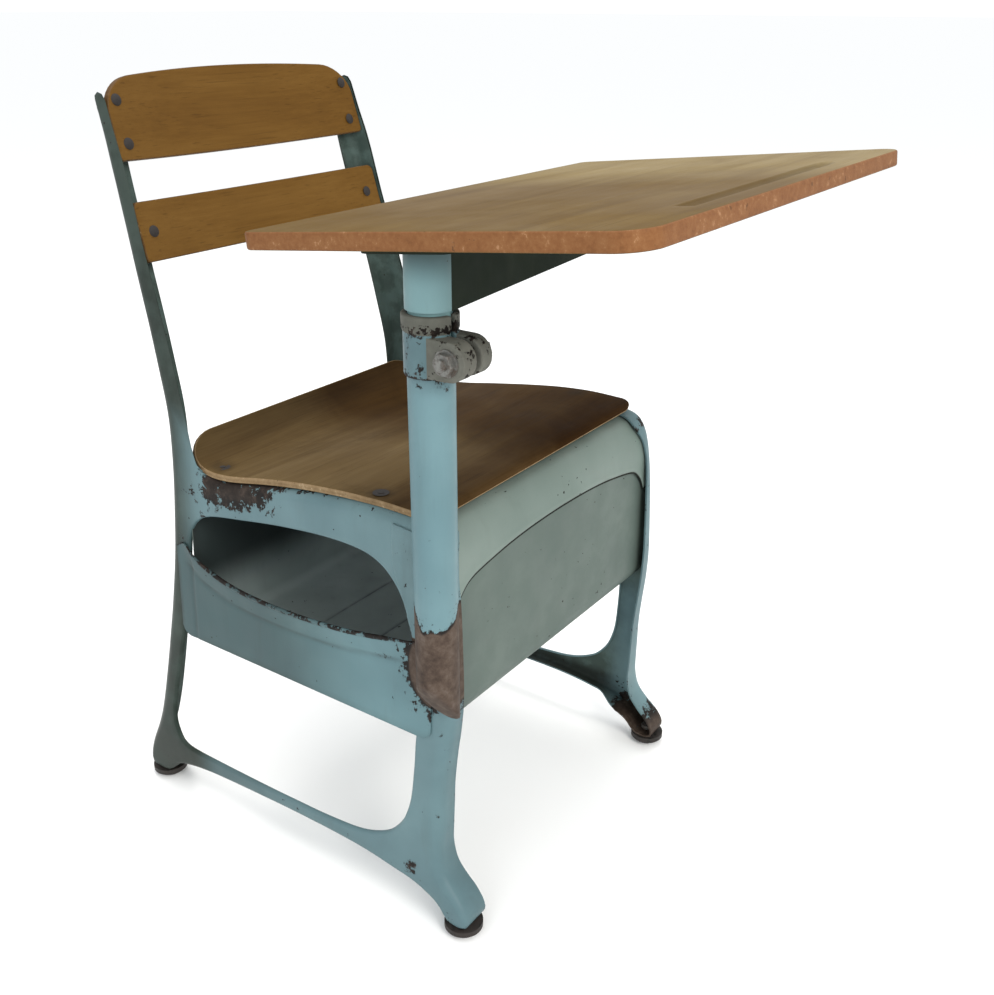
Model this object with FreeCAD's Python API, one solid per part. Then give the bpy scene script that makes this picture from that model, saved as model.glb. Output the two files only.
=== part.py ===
import FreeCAD, Part
import os
import math

# One-piece school chair desk: pressed steel side frames, moulded plywood seat and
# back slats, sheet steel book box under the seat, and a sloping writing top on a
# clamped, height-adjustable side post.
# Frame: millimetres, +Z up, +X to the sitter's left, +Y towards the back rest.
# Layout y is measured from the front glides; every solid is moved by -ORIGIN_Y at the
# end, so the origin is the centre of the footprint box on the floor.

V = FreeCAD.Vector

# ---------------------------------------------------------------- driving dimensions
ORIGIN_Y = 131.14           # layout y of the origin

WEB_X0 = 211.5              # outer face of a side frame at the floor
SPLAY = 0.0504              # inward lean of the side frames per mm of height
SHEET = 2.0                 # frame sheet
FLANGE_IN_X = 177.8         # inner edge of the turned-in flange at the floor
FLANGE_LEAN = 0.0372
# the flange is narrower up the front of the leg: (inner edge x, z)
LEG_FLANGE = [(176.0, 45.0), (178.5, 100.0), (178.0, 200.0), (176.0, 250.0), (176.0, 385.0), (172.0, 405.0), (163.0, 422.0)]
EDGE_R = 8.0                # pressed radius between web and flange

BOX_Z = 220.0               # underside of the book box floor
BOX_SHEET = 1.2
BOX_FRONT_Y = 21.4
BOX_REAR_Y = 352.0
BOX_BEND = 28.0
PANEL_T = 1.2

SEAT_HALF = 184.5
SEAT_Y0, SEAT_Y1 = 38.0, 358.0
SEAT_T = 6.5

SLAT_T = 7.5
SLAT_Y, SLAT_Z, SLAT_LEAN = 399.0, 645.0, 0.27   # front face of the slats at the bolts
SLAT_SAG = 13.0             # how far the middle of a slat is bowed back
SLAT_BOLT_X = 158.0

POST_X, POST_Y = -222.0, 4.0
POST_RO, POST_RI = 19.05, 17.45
UPPER_RO, UPPER_RI = 17.375, 15.4
POST_TOP_Z = 606.0
CLAMP_Z0, CLAMP_Z1, CLAMP_Z2 = 589.0, 624.0, 638.0
CLAMP_BOLT_Y, CLAMP_BOLT_Z = -27.0, 607.0
UPPER_Z0, UPPER_Z1 = 455.0, 683.6

DESK_HALF = 262.5
DESK_Y0, DESK_Y1 = -195.0, 162.0
DESK_ZR = 685.5             # top of the rear edge
DESK_SLOPE = 0.1115
DESK_T = 14.4
DESK_CORNER = 22.0

GLIDE_X = 194.0
GLIDES_Y = (0.0, 441.0)
GLIDE_R, GLIDE_H = 19.5, 12.4

os.makedirs("parts", exist_ok=True)
NODES = []


def save(name, shape):
    s = shape.copy()
    s.translate(V(0, -ORIGIN_Y, 0))
    if s.ShapeType == "Compound" and len(s.Solids) == 1:
        s = s.Solids[0]
    ok = s.isValid() and len(s.Solids) > 0
    s.exportStep("parts/%s.step" % name)
    b = s.BoundBox
    NODES.append((name, s))
    print("%-24s solids %d valid %s vol %.0f  x %.1f..%.1f y %.1f..%.1f z %.1f..%.1f" % (
        name, len(s.Solids), ok, s.Volume, b.XMin, b.XMax, b.YMin, b.YMax, b.ZMin, b.ZMax))


def mirror_x(shape):
    return shape.mirror(V(0, 0, 0), V(1, 0, 0))


def outward(solid):
    """The solid with its faces pointing out."""
    if solid.Volume < 0:
        solid = solid.copy()
        solid.reverse()
    return solid


def clean(shape):
    try:
        r = shape.removeSplitter()
        if r.isValid() and len(r.Solids) == len(shape.Solids):
            return r
    except Exception:
        pass
    return shape


# ---------------------------------------------------------------- curve helpers
def catmull(points, step=6.0, closed=True):
    """Dense points on a centripetal Catmull-Rom curve through the given points.
    Each input point is (y, z, g); g is carried along linearly."""
    out = []
    n = len(points)
    segs = n if closed else n - 1
    for i in range(segs):
        if closed:
            p0, p1, p2, p3 = (points[(i + k) % n] for k in (-1, 0, 1, 2))
        else:
            p1, p2 = points[i], points[i + 1]
            p0 = points[i - 1] if i > 0 else tuple(2 * a - b for a, b in zip(p1, p2))
            p3 = points[i + 2] if i + 2 < n else tuple(2 * a - b for a, b in zip(p2, p1))
        d = math.hypot(p2[0] - p1[0], p2[1] - p1[1])
        m = max(1, int(round(d / step)))

        def tj(ti, a, b):
            return ti + max(1e-6, math.hypot(b[0] - a[0], b[1] - a[1])) ** 0.5
        t0 = 0.0
        t1 = tj(t0, p0, p1)
        t2 = tj(t1, p1, p2)
        t3 = tj(t2, p2, p3)
        for k in range(m):
            t = t1 + (t2 - t1) * k / m
            q = []
            for c in (0, 1):
                a1 = (t1 - t) / (t1 - t0) * p0[c] + (t - t0) / (t1 - t0) * p1[c]
                a2 = (t2 - t) / (t2 - t1) * p1[c] + (t - t1) / (t2 - t1) * p2[c]
                a3 = (t3 - t) / (t3 - t2) * p2[c] + (t - t2) / (t3 - t2) * p3[c]
                b1 = (t2 - t) / (t2 - t0) * a1 + (t - t0) / (t2 - t0) * a2
                b2 = (t3 - t) / (t3 - t1) * a2 + (t - t1) / (t3 - t1) * a3
                q.append((t2 - t) / (t2 - t1) * b1 + (t - t1) / (t2 - t1) * b2)
            g = p1[2] + (p2[2] - p1[2]) * k / m if len(p1) > 2 else 1.0
            out.append((q[0], q[1], g))
    if not closed:
        out.append((points[-1][0], points[-1][1], points[-1][2] if len(points[-1]) > 2 else 1.0))
    return out


def inward_normals(pts):
    n = len(pts)
    area = 0.0
    for i in range(n):
        a, b = pts[i], pts[(i + 1) % n]
        area += a[0] * b[1] - b[0] * a[1]
    sgn = 1.0 if area > 0 else -1.0
    res = []
    for i in range(n):
        a, b = pts[i - 1], pts[(i + 1) % n]
        ty, tz = b[0] - a[0], b[1] - a[1]
        L = math.hypot(ty, tz)
        res.append((-tz / L * sgn, ty / L * sgn))
    return res


def closed_wire(points3, params, parts=24):
    """Smooth closed wire through the points, in several edges of one curve."""
    c = Part.BSplineCurve()
    c.interpolate(Points=points3, PeriodicFlag=True, Parameters=params)
    n = len(params) - 1
    k = min(parts, max(2, n // 4))
    cuts = [int(round(n * i / k)) for i in range(k + 1)]
    return Part.Wire([c.toShape(params[a], params[b]) for a, b in zip(cuts, cuts[1:])])


def params_of(pts):
    p = [0.0]
    n = len(pts)
    for i in range(n):
        a, b = pts[i], pts[(i + 1) % n]
        p.append(p[-1] + math.hypot(b[0] - a[0], b[1] - a[1]))
    L = p[-1]
    return [v / L for v in p]


def web_x(z, w=0.0):
    return WEB_X0 - SPLAY * z - w


def frame_level(pts, nrm, prm, offs, w):
    p3 = []
    for (y, z, g), (ny, nz), o in zip(pts, nrm, offs):
        yy, zz = y + ny * o, z + nz * o
        p3.append(V(web_x(zz, w), yy, zz))
    return closed_wire(p3, prm)


def prism_x(points_yz, x0, x1, smooth=True, step=6.0):
    """Prism along X with a (y, z) outline."""
    if smooth:
        pts = catmull([(p[0], p[1], 1.0) for p in points_yz], step)
        w = closed_wire([V(x0, p[0], p[1]) for p in pts], params_of(pts))
    else:
        w = Part.makePolygon([V(x0, p[0], p[1]) for p in points_yz + [points_yz[0]]])
    return Part.Face(w).extrude(V(x1 - x0, 0, 0))


def prism_y(points_xz, y0, y1):
    w = Part.makePolygon([V(p[0], y0, p[1]) for p in points_xz + [points_xz[0]]])
    return Part.Face(w).extrude(V(0, y1 - y0, 0))


def prism_z(points_xy, z0, z1):
    w = Part.makePolygon([V(p[0], p[1], z0) for p in points_xy + [points_xy[0]]])
    return Part.Face(w).extrude(V(0, 0, z1 - z0))


def cyl(r, h, base, axis=V(0, 0, 1)):
    return Part.makeCylinder(r, h, base, axis)


def rounded_rect_face(x0, y0, x1, y1, r, z=0.0):
    rs = r if isinstance(r, (list, tuple)) else (r, r, r, r)
    pts = [(x0, y0), (x1, y0), (x1, y1), (x0, y1)]
    edges = []
    ends = []
    for i, (x, y) in enumerate(pts):
        px, py = pts[i - 1]
        qx, qy = pts[(i + 1) % 4]
        a = math.hypot(px - x, py - y)
        b = math.hypot(qx - x, qy - y)
        rr = rs[i]
        s = V(x + (px - x) / a * rr, y + (py - y) / a * rr, z)
        e = V(x + (qx - x) / b * rr, y + (qy - y) / b * rr, z)
        c = V(s.x + (e.x - x), s.y + (e.y - y), z)
        d = V(x, y, z) - c
        m = c + d * (rr / d.Length)
        ends.append((s, m, e))
    for i in range(4):
        s, m, e = ends[i]
        edges.append(Part.Arc(s, m, e).toShape())
        n = ends[(i + 1) % 4][0]
        if (n - e).Length > 1e-6:
            edges.append(Part.LineSegment(e, n).toShape())
    return Part.Face(Part.Wire(edges))


# ---------------------------------------------------------------- side frame outlines
# (y, z, g) on the outer face; g = 1 where the edge is turned in as a flange,
# g = 0 along the open front edge of the upright that holds the back slats.
SEAT_TOP = [(38.0, 437.0), (40.5, 441.2), (47.0, 443.4), (63.0, 444.2), (80.0, 444.6), (95.0, 444.6), (120.0, 443.4),
            (143.0, 441.6), (170.0, 438.6), (195.0, 435.3), (235.0, 429.0), (278.0, 421.4), (300.0, 418.6),
            (316.0, 418.0), (330.0, 420.4), (342.0, 426.2), (352.0, 434.5), (360.0, 444.0)]

OUTLINE = [
    (438.5, 772.6, 0.0), (432.5, 771.2, 0.0), (428.6, 766.2, 0.0), (426.0, 758.5, 0.0), (419.1, 736.6, 0.0),
    (410.6, 712.6, 0.0), (405.1, 693.6, 0.0), (399.1, 668.7, 0.0), (393.6, 645.7, 0.0), (387.6, 623.7, 0.0),
    (381.9, 603.8, 0.0), (372.8, 572.0, 0.0), (362.6, 532.4, 0.0), (352.4, 489.8, 0.0), (345.5, 460.0, 0.0),
    (340.5, 437.0, 0.0), (335.0, 422.0, 0.0), (327.0, 413.6, 0.2), (315.0, 410.6, 0.9), (300.0, 411.2, 1.0),
    (278.0, 414.0, 1.0), (235.0, 421.6, 1.0), (195.0, 427.9, 1.0), (168.0, 431.6, 1.0), (143.0, 434.3, 1.0),
    (120.0, 436.1, 1.0), (95.0, 437.3, 1.0), (63.0, 436.8, 1.0), (47.0, 435.7, 1.0), (36.0, 433.2, 1.0),
    (27.5, 427.4, 1.0), (21.5, 417.5, 1.0), (17.4, 404.0, 1.0), (14.6, 387.0, 1.0), (12.6, 366.0, 1.0),
    (11.2, 333.0, 1.0), (10.4, 300.0, 1.0), (10.0, 272.0, 1.0), (10.8, 248.0, 1.0), (12.9, 224.0, 1.0),
    (16.0, 200.0, 1.0), (19.8, 165.0, 1.0), (21.0, 137.0, 1.0), (22.0, 112.0, 1.0), (22.6, 88.0, 1.0),
    (18.0, 67.5, 1.0), (7.4, 53.4, 1.0), (-3.6, 42.8, 1.0), (-11.0, 33.2, 1.0), (-14.4, 24.0, 1.0),
    (-12.4, 16.6, 1.0), (-7.0, 13.8, 1.0), (2.0, 13.4, 1.0), (10.6, 15.4, 1.0), (16.0, 20.6, 1.0),
    (21.0, 26.8, 1.0), (28.0, 32.0, 1.0), (38.0, 36.4, 1.0), (50.0, 40.2, 1.0), (64.0, 43.4, 1.0),
    (80.0, 45.5, 1.0), (103.0, 48.5, 1.0), (131.0, 50.5, 1.0), (165.0, 51.0, 1.0), (200.0, 50.6, 1.0),
    (236.0, 49.6, 1.0), (272.0, 48.0, 1.0), (311.0, 46.0, 1.0), (350.0, 43.2, 1.0), (376.0, 39.6, 1.0),
    (393.0, 35.8, 1.0), (404.0, 32.0, 1.0), (412.5, 26.0, 1.0), (419.0, 19.6, 1.0), (425.5, 15.0, 1.0),
    (432.5, 13.3, 1.0), (440.0, 13.2, 1.0), (448.0, 13.6, 1.0), (453.4, 16.6, 1.0), (455.4, 23.0, 1.0),
    (454.4, 34.0, 1.0), (449.5, 52.0, 1.0), (438.6, 80.0, 1.0), (428.7, 112.0, 1.0), (418.1, 155.0, 1.0),
    (408.2, 200.0, 1.0), (398.0, 250.0, 1.0), (388.3, 308.0, 1.0), (383.9, 352.0, 1.0), (380.1, 412.0, 1.0),
    (381.3, 465.0, 1.0), (390.4, 514.0, 1.0), (400.0, 558.0, 1.0), (410.8, 602.0, 1.0), (422.0, 650.0, 1.0),
    (433.0, 697.0, 1.0), (441.0, 737.0, 1.0), (444.5, 752.0, 1.0), (445.4, 762.0, 0.7), (443.6, 769.6, 0.2),
]

# one large opening in the web: the leg space below the book box and the book
# space above it; the box side panel crosses it
OPENING = [
    (98.3, 82.2), (114.5, 75.8), (130.9, 72.0), (147.5, 70.0), (181.5, 67.3), (216.5, 66.0), (252.7, 64.8),
    (290.0, 64.2), (348.0, 63.8), (368.3, 64.1), (384.0, 65.6), (393.7, 70.2), (399.6, 80.2), (403.1, 91.0),
    (403.2, 103.0), (401.4, 115.8), (392.5, 154.6), (381.8, 193.0), (371.0, 235.0), (363.0, 280.0),
    (357.5, 315.0), (355.0, 336.0), (348.0, 351.0), (337.0, 361.5), (322.0, 368.0), (275.0, 376.5),
    (219.0, 385.0), (165.0, 390.0), (130.0, 390.4), (107.0, 387.6), (89.0, 379.6), (75.0, 366.2),
    (65.0, 348.6), (58.0, 325.0), (52.5, 285.0), (49.5, 240.0), (51.5, 205.0), (52.7, 182.4),
    (55.5, 150.0), (57.3, 138.7), (60.6, 126.5), (66.8, 111.4), (82.4, 92.0),
]


def side_frame():
    pts = catmull(OUTLINE, 7.0)
    nrm = inward_normals(pts)
    prm = params_of(pts)
    depth = 40.0
    outer = []
    for th in (0, 30, 60, 90):
        s, c = math.sin(math.radians(th)), math.cos(math.radians(th))
        offs = [p[2] * EDGE_R * (1 - s) for p in pts]
        outer.append(frame_level(pts, nrm, prm, offs, EDGE_R * (1 - c)))
    outer.append(frame_level(pts, nrm, prm, [0.0] * len(pts), depth))
    body = outward(Part.makeLoft(outer, True, True))
    ri = EDGE_R - SHEET
    inner = []
    for th in (0, 30, 60, 90):
        s, c = math.sin(math.radians(th)), math.cos(math.radians(th))
        offs = [p[2] * (SHEET + ri * (1 - s)) + (1 - p[2]) * -6.0 for p in pts]
        inner.append(frame_level(pts, nrm, prm, offs, SHEET + ri * (1 - c)))
    offs = [p[2] * SHEET + (1 - p[2]) * -6.0 for p in pts]
    inner.append(frame_level(pts, nrm, prm, offs, depth + 5.0))
    pocket = outward(Part.makeLoft(inner, True, True))
    body = body.cut(pocket)
    # the free edge of the flange lies in its own, steeper plane
    trim = prism_y([(100.0, -20.0), (FLANGE_IN_X + FLANGE_LEAN * 20.0, -20.0),
                    (FLANGE_IN_X - FLANGE_LEAN * 820.0, 820.0), (100.0, 820.0)], -60.0, 520.0)
    body = body.cut(trim)
    body = body.cut(prism_y([(100.0, 45.0)] + LEG_FLANGE + [(100.0, 422.0)], -60.0, 60.0))
    body = body.cut(prism_x(OPENING, 120.0, 240.0))
    # raised bosses on the rear flange that carry the slat bolts
    for z in SLAT_BOLT_Z:
        yb = slat_y(z) + SLAT_T / COSL
        y2 = rear_y(z)
        yb += 2.0           # clear of the bowed back of the slat
        boss = Part.makeCone(8.5, 10.0, y2 - 1.2 - yb, V(SLAT_BOLT_X, yb, z - (yb - slat_y(z)) * SLAT_LEAN), V(0, 1, 0))
        body = body.fuse(boss)
    for z in SLAT_BOLT_Z:
        body = body.cut(slat_hole(z, 3.3))
    for (x, y, z) in SEAT_BOLTS:
        body = body.cut(cyl(3.3, 40.0, V(x, y, z - 30.0)))
    for y in GLIDES_Y:
        body = body.cut(cyl(4.0, 24.0, V(GLIDE_X, y, 0.0)))
    return body


COSL = math.cos(math.atan(SLAT_LEAN))
SINL = math.sin(math.atan(SLAT_LEAN))
SLAT_BOLT_Z = (765.0, 725.5, 644.5)


def slat_y(z):
    return SLAT_Y + SLAT_LEAN * (z - SLAT_Z)


def rear_y(z):
    t = [(602.0, 411.0), (650.0, 422.2), (697.0, 433.2), (737.0, 441.6), (752.0, 445.2), (762.0, 446.2), (770.0, 446.7)]
    for (za, ya), (zb, yb) in zip(t, t[1:]):
        if za <= z <= zb:
            return ya + (yb - ya) * (z - za) / (zb - za)
    return t[-1][1]


def slat_hole(z, r):
    """Hole square to the slat face, from in front of the slat to behind the flange."""
    d = V(0, COSL, -SINL)
    c = V(SLAT_BOLT_X, slat_y(z), z)
    return cyl(r, 60.0, c - d * 6.0, d)


def seat_top_z(y):
    t = SEAT_TOP
    for (ya, za), (yb, zb) in zip(t, t[1:]):
        if ya <= y <= yb:
            return za + (zb - za) * (y - ya) / (yb - ya)
    return t[-1][1]


SEAT_BOLTS = [(171.0, 106.0, 444.0), (171.0, 318.0, 418.0)]

left = side_frame()
right = mirror_x(left)
save("left_side_frame", left)
save("right_side_frame", right)

# ---------------------------------------------------------------- book box side panels
PANEL = [
    (46.5, 219.0), (200.0, 218.6), (358.0, 219.0), (368.0, 221.5), (373.0, 231.0), (373.6, 262.0),
    (371.4, 300.0), (367.0, 325.0), (360.0, 330.5), (351.0, 321.0), (337.0, 313.4), (320.0, 307.2),
    (295.0, 301.2), (268.0, 298.0), (235.0, 296.6), (198.0, 297.2), (165.0, 299.4), (132.0, 302.8),
    (100.0, 308.0), (69.0, 314.2), (48.0, 318.4), (36.0, 315.0), (31.0, 300.0), (30.0, 265.0),
    (30.6, 234.0), (36.0, 221.8),
]


def side_panel():
    pts = catmull([(p[0], p[1], 1.0) for p in PANEL], 7.0)
    prm = params_of(pts)
    a = closed_wire([V(web_x(p[1], -PANEL_T), p[0], p[1]) for p in pts], prm)
    b = closed_wire([V(web_x(p[1], 0.0), p[0], p[1]) for p in pts], prm)
    s = outward(Part.makeLoft([a, b], True, True))
    # lip turned in under the box floor between the legs
    lip = Part.makeBox(14.0, 290.0, BOX_SHEET, V(web_x(219.4) - 14.0, 58.0, BOX_Z - BOX_SHEET))
    web = Part.makeBox(PANEL_T + 0.6, 290.0, 2.6, V(web_x(219.4) - 0.6, 58.0, BOX_Z - BOX_SHEET))
    keep = prism_y([(150.0, 200.0), (web_x(200.0, -PANEL_T), 200.0), (web_x(340.0, -PANEL_T), 340.0), (150.0, 340.0)], 0.0, 400.0)
    s = s.fuse(lip).fuse(web.common(keep))
    # rolled hem standing proud along the front half of the top edge
    hem_pts = [(348.0, 318.6), (337.0, 312.6), (320.0, 306.4), (295.0, 300.4), (268.0, 297.2), (235.0, 295.8),
               (198.0, 296.4), (165.0, 298.6), (132.0, 302.0), (100.0, 307.2), (69.0, 313.4)]
    run = catmull([(p[0], p[1], 1.0) for p in hem_pts], 14.0, closed=False)
    c = Part.BSplineCurve()
    c.interpolate([V(web_x(p[1], -PANEL_T * 0.5), p[0], p[1] + 0.6) for p in run])
    path = Part.Wire([c.toShape()])
    st = path.Edges[0].tangentAt(path.Edges[0].FirstParameter)
    p0 = path.Edges[0].valueAt(path.Edges[0].FirstParameter)
    prof = Part.Wire([Part.Circle(p0, st, 1.7).toShape()])
    try:
        hem = path.makePipeShell([prof], True, False)
        if hem.isValid() and len(hem.Solids) == 1:
            f = s.fuse(hem)
            if f.isValid() and len(f.Solids) == 1:
                s = f
    except Exception as e:
        print("hem left off", e)
    return s


lp = side_panel()
save("left_box_side", lp)
save("right_box_side", mirror_x(lp))


# ---------------------------------------------------------------- book box pan
def sheet_profile(path_yz, t):
    """Closed (y, z) outline of a bent strip: path is a list of (y, z), offset by t to
    its left."""
    n = len(path_yz)
    off = []
    for i in range(n):
        a = path_yz[max(0, i - 1)]
        b = path_yz[min(n - 1, i + 1)]
        ty, tz = b[0] - a[0], b[1] - a[1]
        L = math.hypot(ty, tz)
        off.append((path_yz[i][0] - tz / L * t, path_yz[i][1] + ty / L * t))
    return path_yz + off[::-1]


def arc_pts(cy, cz, r, a0, a1, n=7):
    return [(cy + r * math.cos(math.radians(a0 + (a1 - a0) * i / n)),
             cz + r * math.sin(math.radians(a0 + (a1 - a0) * i / n))) for i in range(n + 1)]


def bent_sheet(segs, t, x0, x1):
    """Solid bent strip, extruded along X. segs is a list of ('L', p, q) and
    ('A', centre, r, a0, a1) describing the outside face; thickness goes to the left."""
    outer, inner = [], []
    for s in segs:
        if s[0] == "L":
            (y0, z0), (y1, z1) = s[1], s[2]
            L = math.hypot(y1 - y0, z1 - z0)
            ny, nz = -(z1 - z0) / L * t, (y1 - y0) / L * t
            outer.append(Part.LineSegment(V(x0, y0, z0), V(x0, y1, z1)).toShape())
            inner.append(Part.LineSegment(V(x0, y1 + ny, z1 + nz), V(x0, y0 + ny, z0 + nz)).toShape())
        else:
            (cy, cz), r, a0, a1 = s[1], s[2], s[3], s[4]
            ri = r - t if a1 > a0 else r + t

            def P(rr, a):
                return V(x0, cy + rr * math.cos(math.radians(a)), cz + rr * math.sin(math.radians(a)))
            am = 0.5 * (a0 + a1)
            outer.append(Part.Arc(P(r, a0), P(r, am), P(r, a1)).toShape())
            inner.append(Part.Arc(P(ri, a1), P(ri, am), P(ri, a0)).toShape())

    def ends(e):
        return e.valueAt(e.FirstParameter), e.valueAt(e.LastParameter)
    a = outer[0].valueAt(outer[0].FirstParameter)
    b = outer[-1].valueAt(outer[-1].LastParameter)
    ia = inner[0].valueAt(inner[0].LastParameter)
    ib = inner[-1].valueAt(inner[-1].FirstParameter)
    edges = outer + [Part.LineSegment(b, ib).toShape()] + inner[::-1] + [Part.LineSegment(ia, a).toShape()]
    w = Part.Wire(Part.__sortEdges__(edges))
    return Part.Face(w).extrude(V(x1 - x0, 0, 0))


FR, RR = BOX_FRONT_Y, BOX_REAR_Y
B = BOX_BEND
pan = bent_sheet([
    ("L", (FR, 392.0), (FR, BOX_Z + B)),
    ("A", (FR + B, BOX_Z + B), B, 180.0, 270.0),
    ("L", (FR + B, BOX_Z), (RR - 12.0, BOX_Z)),
    ("A", (RR - 12.0, BOX_Z + 12.0), 12.0, 270.0, 360.0),
    ("L", (RR, BOX_Z + 12.0), (RR, 399.0)),
], BOX_SHEET, -230.0, 230.0)
# ends follow the inner faces of the side frames
trim_pan = prism_y([(-(web_x(200.0, SHEET + 0.4)), 200.0), (web_x(200.0, SHEET + 0.4), 200.0),
                    (web_x(420.0, SHEET + 0.4), 420.0), (-(web_x(420.0, SHEET + 0.4)), 420.0)], 0.0, 400.0)
pan = pan.common(trim_pan)
# arched top edge of the front wall, hidden behind the apron
arch_cut = prism_y([(-230.0, 500.0), (-230.0, 380.0)] +
                   [(-200.0 + 10.0 * i, 380.0 + 12.0 * (1 - ((-200.0 + 10.0 * i) / 200.0) ** 2)) for i in range(41)] +
                   [(230.0, 380.0), (230.0, 500.0)], 0.0, 60.0)
pan = pan.cut(arch_cut)
# shallow pressed ribs across the floor
for yr in (118.0, 190.0, 262.0):
    rib = Part.makeCylinder(7.0, 2 * 160.0, V(-160.0, yr, BOX_Z + BOX_SHEET - 5.6), V(1, 0, 0))
    rib = rib.common(Part.makeBox(400.0, 40.0, 10.0, V(-200.0, yr - 20.0, BOX_Z + 0.6)))
    pan = pan.fuse(rib)
save("book_box_pan", clean(pan))

# ---------------------------------------------------------------- front apron under the seat
AP = [(18.2, 322.0), (18.2, 345.0), (18.2, 366.0), (18.6, 384.0), (19.6, 394.0), (21.8, 404.0), (25.8, 414.5),
      (31.0, 422.6), (37.0, 428.0), (45.0, 431.4), (53.0, 432.6), (62.0, 432.8)]
apd = catmull([(p[0], p[1], 1.0) for p in AP], 8.0, closed=False)
ap_out = [(p[0], p[1]) for p in apd]
prof = sheet_profile(ap_out, -1.5)


def poly_prism_x(prof, x0, x1):
    w = Part.makePolygon([V(x0, p[0], p[1]) for p in prof + [prof[0]]])
    return Part.Face(w).extrude(V(x1 - x0, 0, 0))


apron = poly_prism_x(prof, -200.0, 200.0)
trim_ap = prism_y([(-(web_x(300.0, SHEET + 3.4)), 300.0), (web_x(300.0, SHEET + 3.4), 300.0),
                   (web_x(440.0, SHEET + 3.4), 440.0), (-(web_x(440.0, SHEET + 3.4)), 440.0)], 0.0, 100.0)
apron = apron.common(trim_ap)
# arched cut: about 386 high in the middle, 372 near the ends, round corners down to the legs
half = [(0.0, 386.0), (30.0, 385.6), (60.0, 384.4), (90.0, 382.2), (115.0, 379.0), (135.0, 375.4),
        (146.0, 372.0), (155.0, 366.8), (161.5, 358.6), (165.0, 348.0), (166.0, 336.0), (166.2, 310.0)]
arch = half[::-1] + [(-x, z) for x, z in half[1:]]
apron = apron.cut(prism_y([(x, z) for x, z in arch], 0.0, 26.0))
save("front_apron", apron)

# ---------------------------------------------------------------- rear seat rail
rail = bent_sheet([
    ("L", (302.0, 384.0), (302.0, 403.8)),
    ("A", (306.0, 403.8), 4.0, 180.0, 90.0),
    ("L", (306.0, 407.8), (344.5, 407.8)),
    ("A", (344.5, 403.8), 4.0, 90.0, 0.0),
    ("L", (348.5, 403.8), (348.5, 374.0)),
], -1.6, -200.0, 200.0)
trim_r = prism_y([(-(web_x(360.0, SHEET + 3.4)), 360.0), (web_x(360.0, SHEET + 3.4), 360.0),
                  (web_x(420.0, SHEET + 3.4), 420.0), (-(web_x(420.0, SHEET + 3.4)), 420.0)], 200.0, 400.0)
rail = rail.common(trim_r)
for (x, y, z) in SEAT_BOLTS:
    for sx in (1, -1):
        rail = rail.cut(cyl(4.2, 60.0, V(sx * x, y, z - 40.0)))
save("rear_seat_rail", rail)

# ---------------------------------------------------------------- moulded plywood seat
sd = catmull([(p[0], p[1], 1.0) for p in SEAT_TOP], 8.0, closed=False)
top = [V(-SEAT_HALF - 5, p[0], p[1]) for p in sd]
nrm = []
for i in range(len(sd)):
    a = sd[max(0, i - 1)]
    b = sd[min(len(sd) - 1, i + 1)]
    ty, tz = b[0] - a[0], b[1] - a[1]
    L = math.hypot(ty, tz)
    nrm.append((-tz / L, ty / L))
bot = []
for p, n in zip(sd, nrm):
    bot.append((p[0] - n[0] * SEAT_T, p[1] - n[1] * SEAT_T))
# front end rolls over; the underside starts behind the nose
bot = [(51.0, 436.7)] + [q for q in bot if q[0] > 63.0 and not (q[0] > 300.0 and q[1] > 440.0)]
ring = top + [V(-SEAT_HALF - 5, q[0], q[1]) for q in bot[::-1]] + [V(-SEAT_HALF - 5, 41.0, 436.0)]
w = Part.makePolygon(ring + [ring[0]])
seat = Part.Face(w).extrude(V(2 * SEAT_HALF + 10, 0, 0))
plan = rounded_rect_face(-SEAT_HALF, SEAT_Y0 - 1.0, SEAT_HALF, SEAT_Y1 + 9.0, (10.0, 10.0, 34.0, 34.0), 380.0).extrude(V(0, 0, 90.0))
seat = seat.common(plan)
for (x, y, z) in SEAT_BOLTS:
    for sx in (1, -1):
        seat = seat.cut(cyl(3.2, 60.0, V(sx * x, y, z - 40.0)))
        zt = seat_top_z(y)
        seat = seat.cut(Part.makeCone(3.2, 8.2, 4.0, V(sx * x, y, zt - 4.4)).fuse(cyl(8.2, 6.0, V(sx * x, y, zt - 0.4))))
save("seat", clean(seat))

bolts, nuts = [], []
for (x, y, z) in SEAT_BOLTS:
    for sx in (1, -1):
        zt = seat_top_z(y)
        b = Part.makeCone(3.0, 7.8, 3.8, V(sx * x, y, zt - 4.3)).fuse(cyl(3.0, 24.0, V(sx * x, y, zt - 24.0)))
        bolts.append(b)
        # nut under the turned-in flange
        fz = 434.6 if y < 200 else 406.0
        hexp = [(sx * x + 6.4 * math.cos(math.radians(60 * k)), y + 6.4 * math.sin(math.radians(60 * k))) for k in range(6)]
        nut = prism_z(hexp, fz - 5.0, fz - 0.2).cut(cyl(3.05, 20.0, V(sx * x, y, fz - 10.0)))
        nuts.append(nut)
save("seat_bolts", Part.makeCompound(bolts))
save("seat_nuts", Part.makeCompound(nuts))


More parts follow.
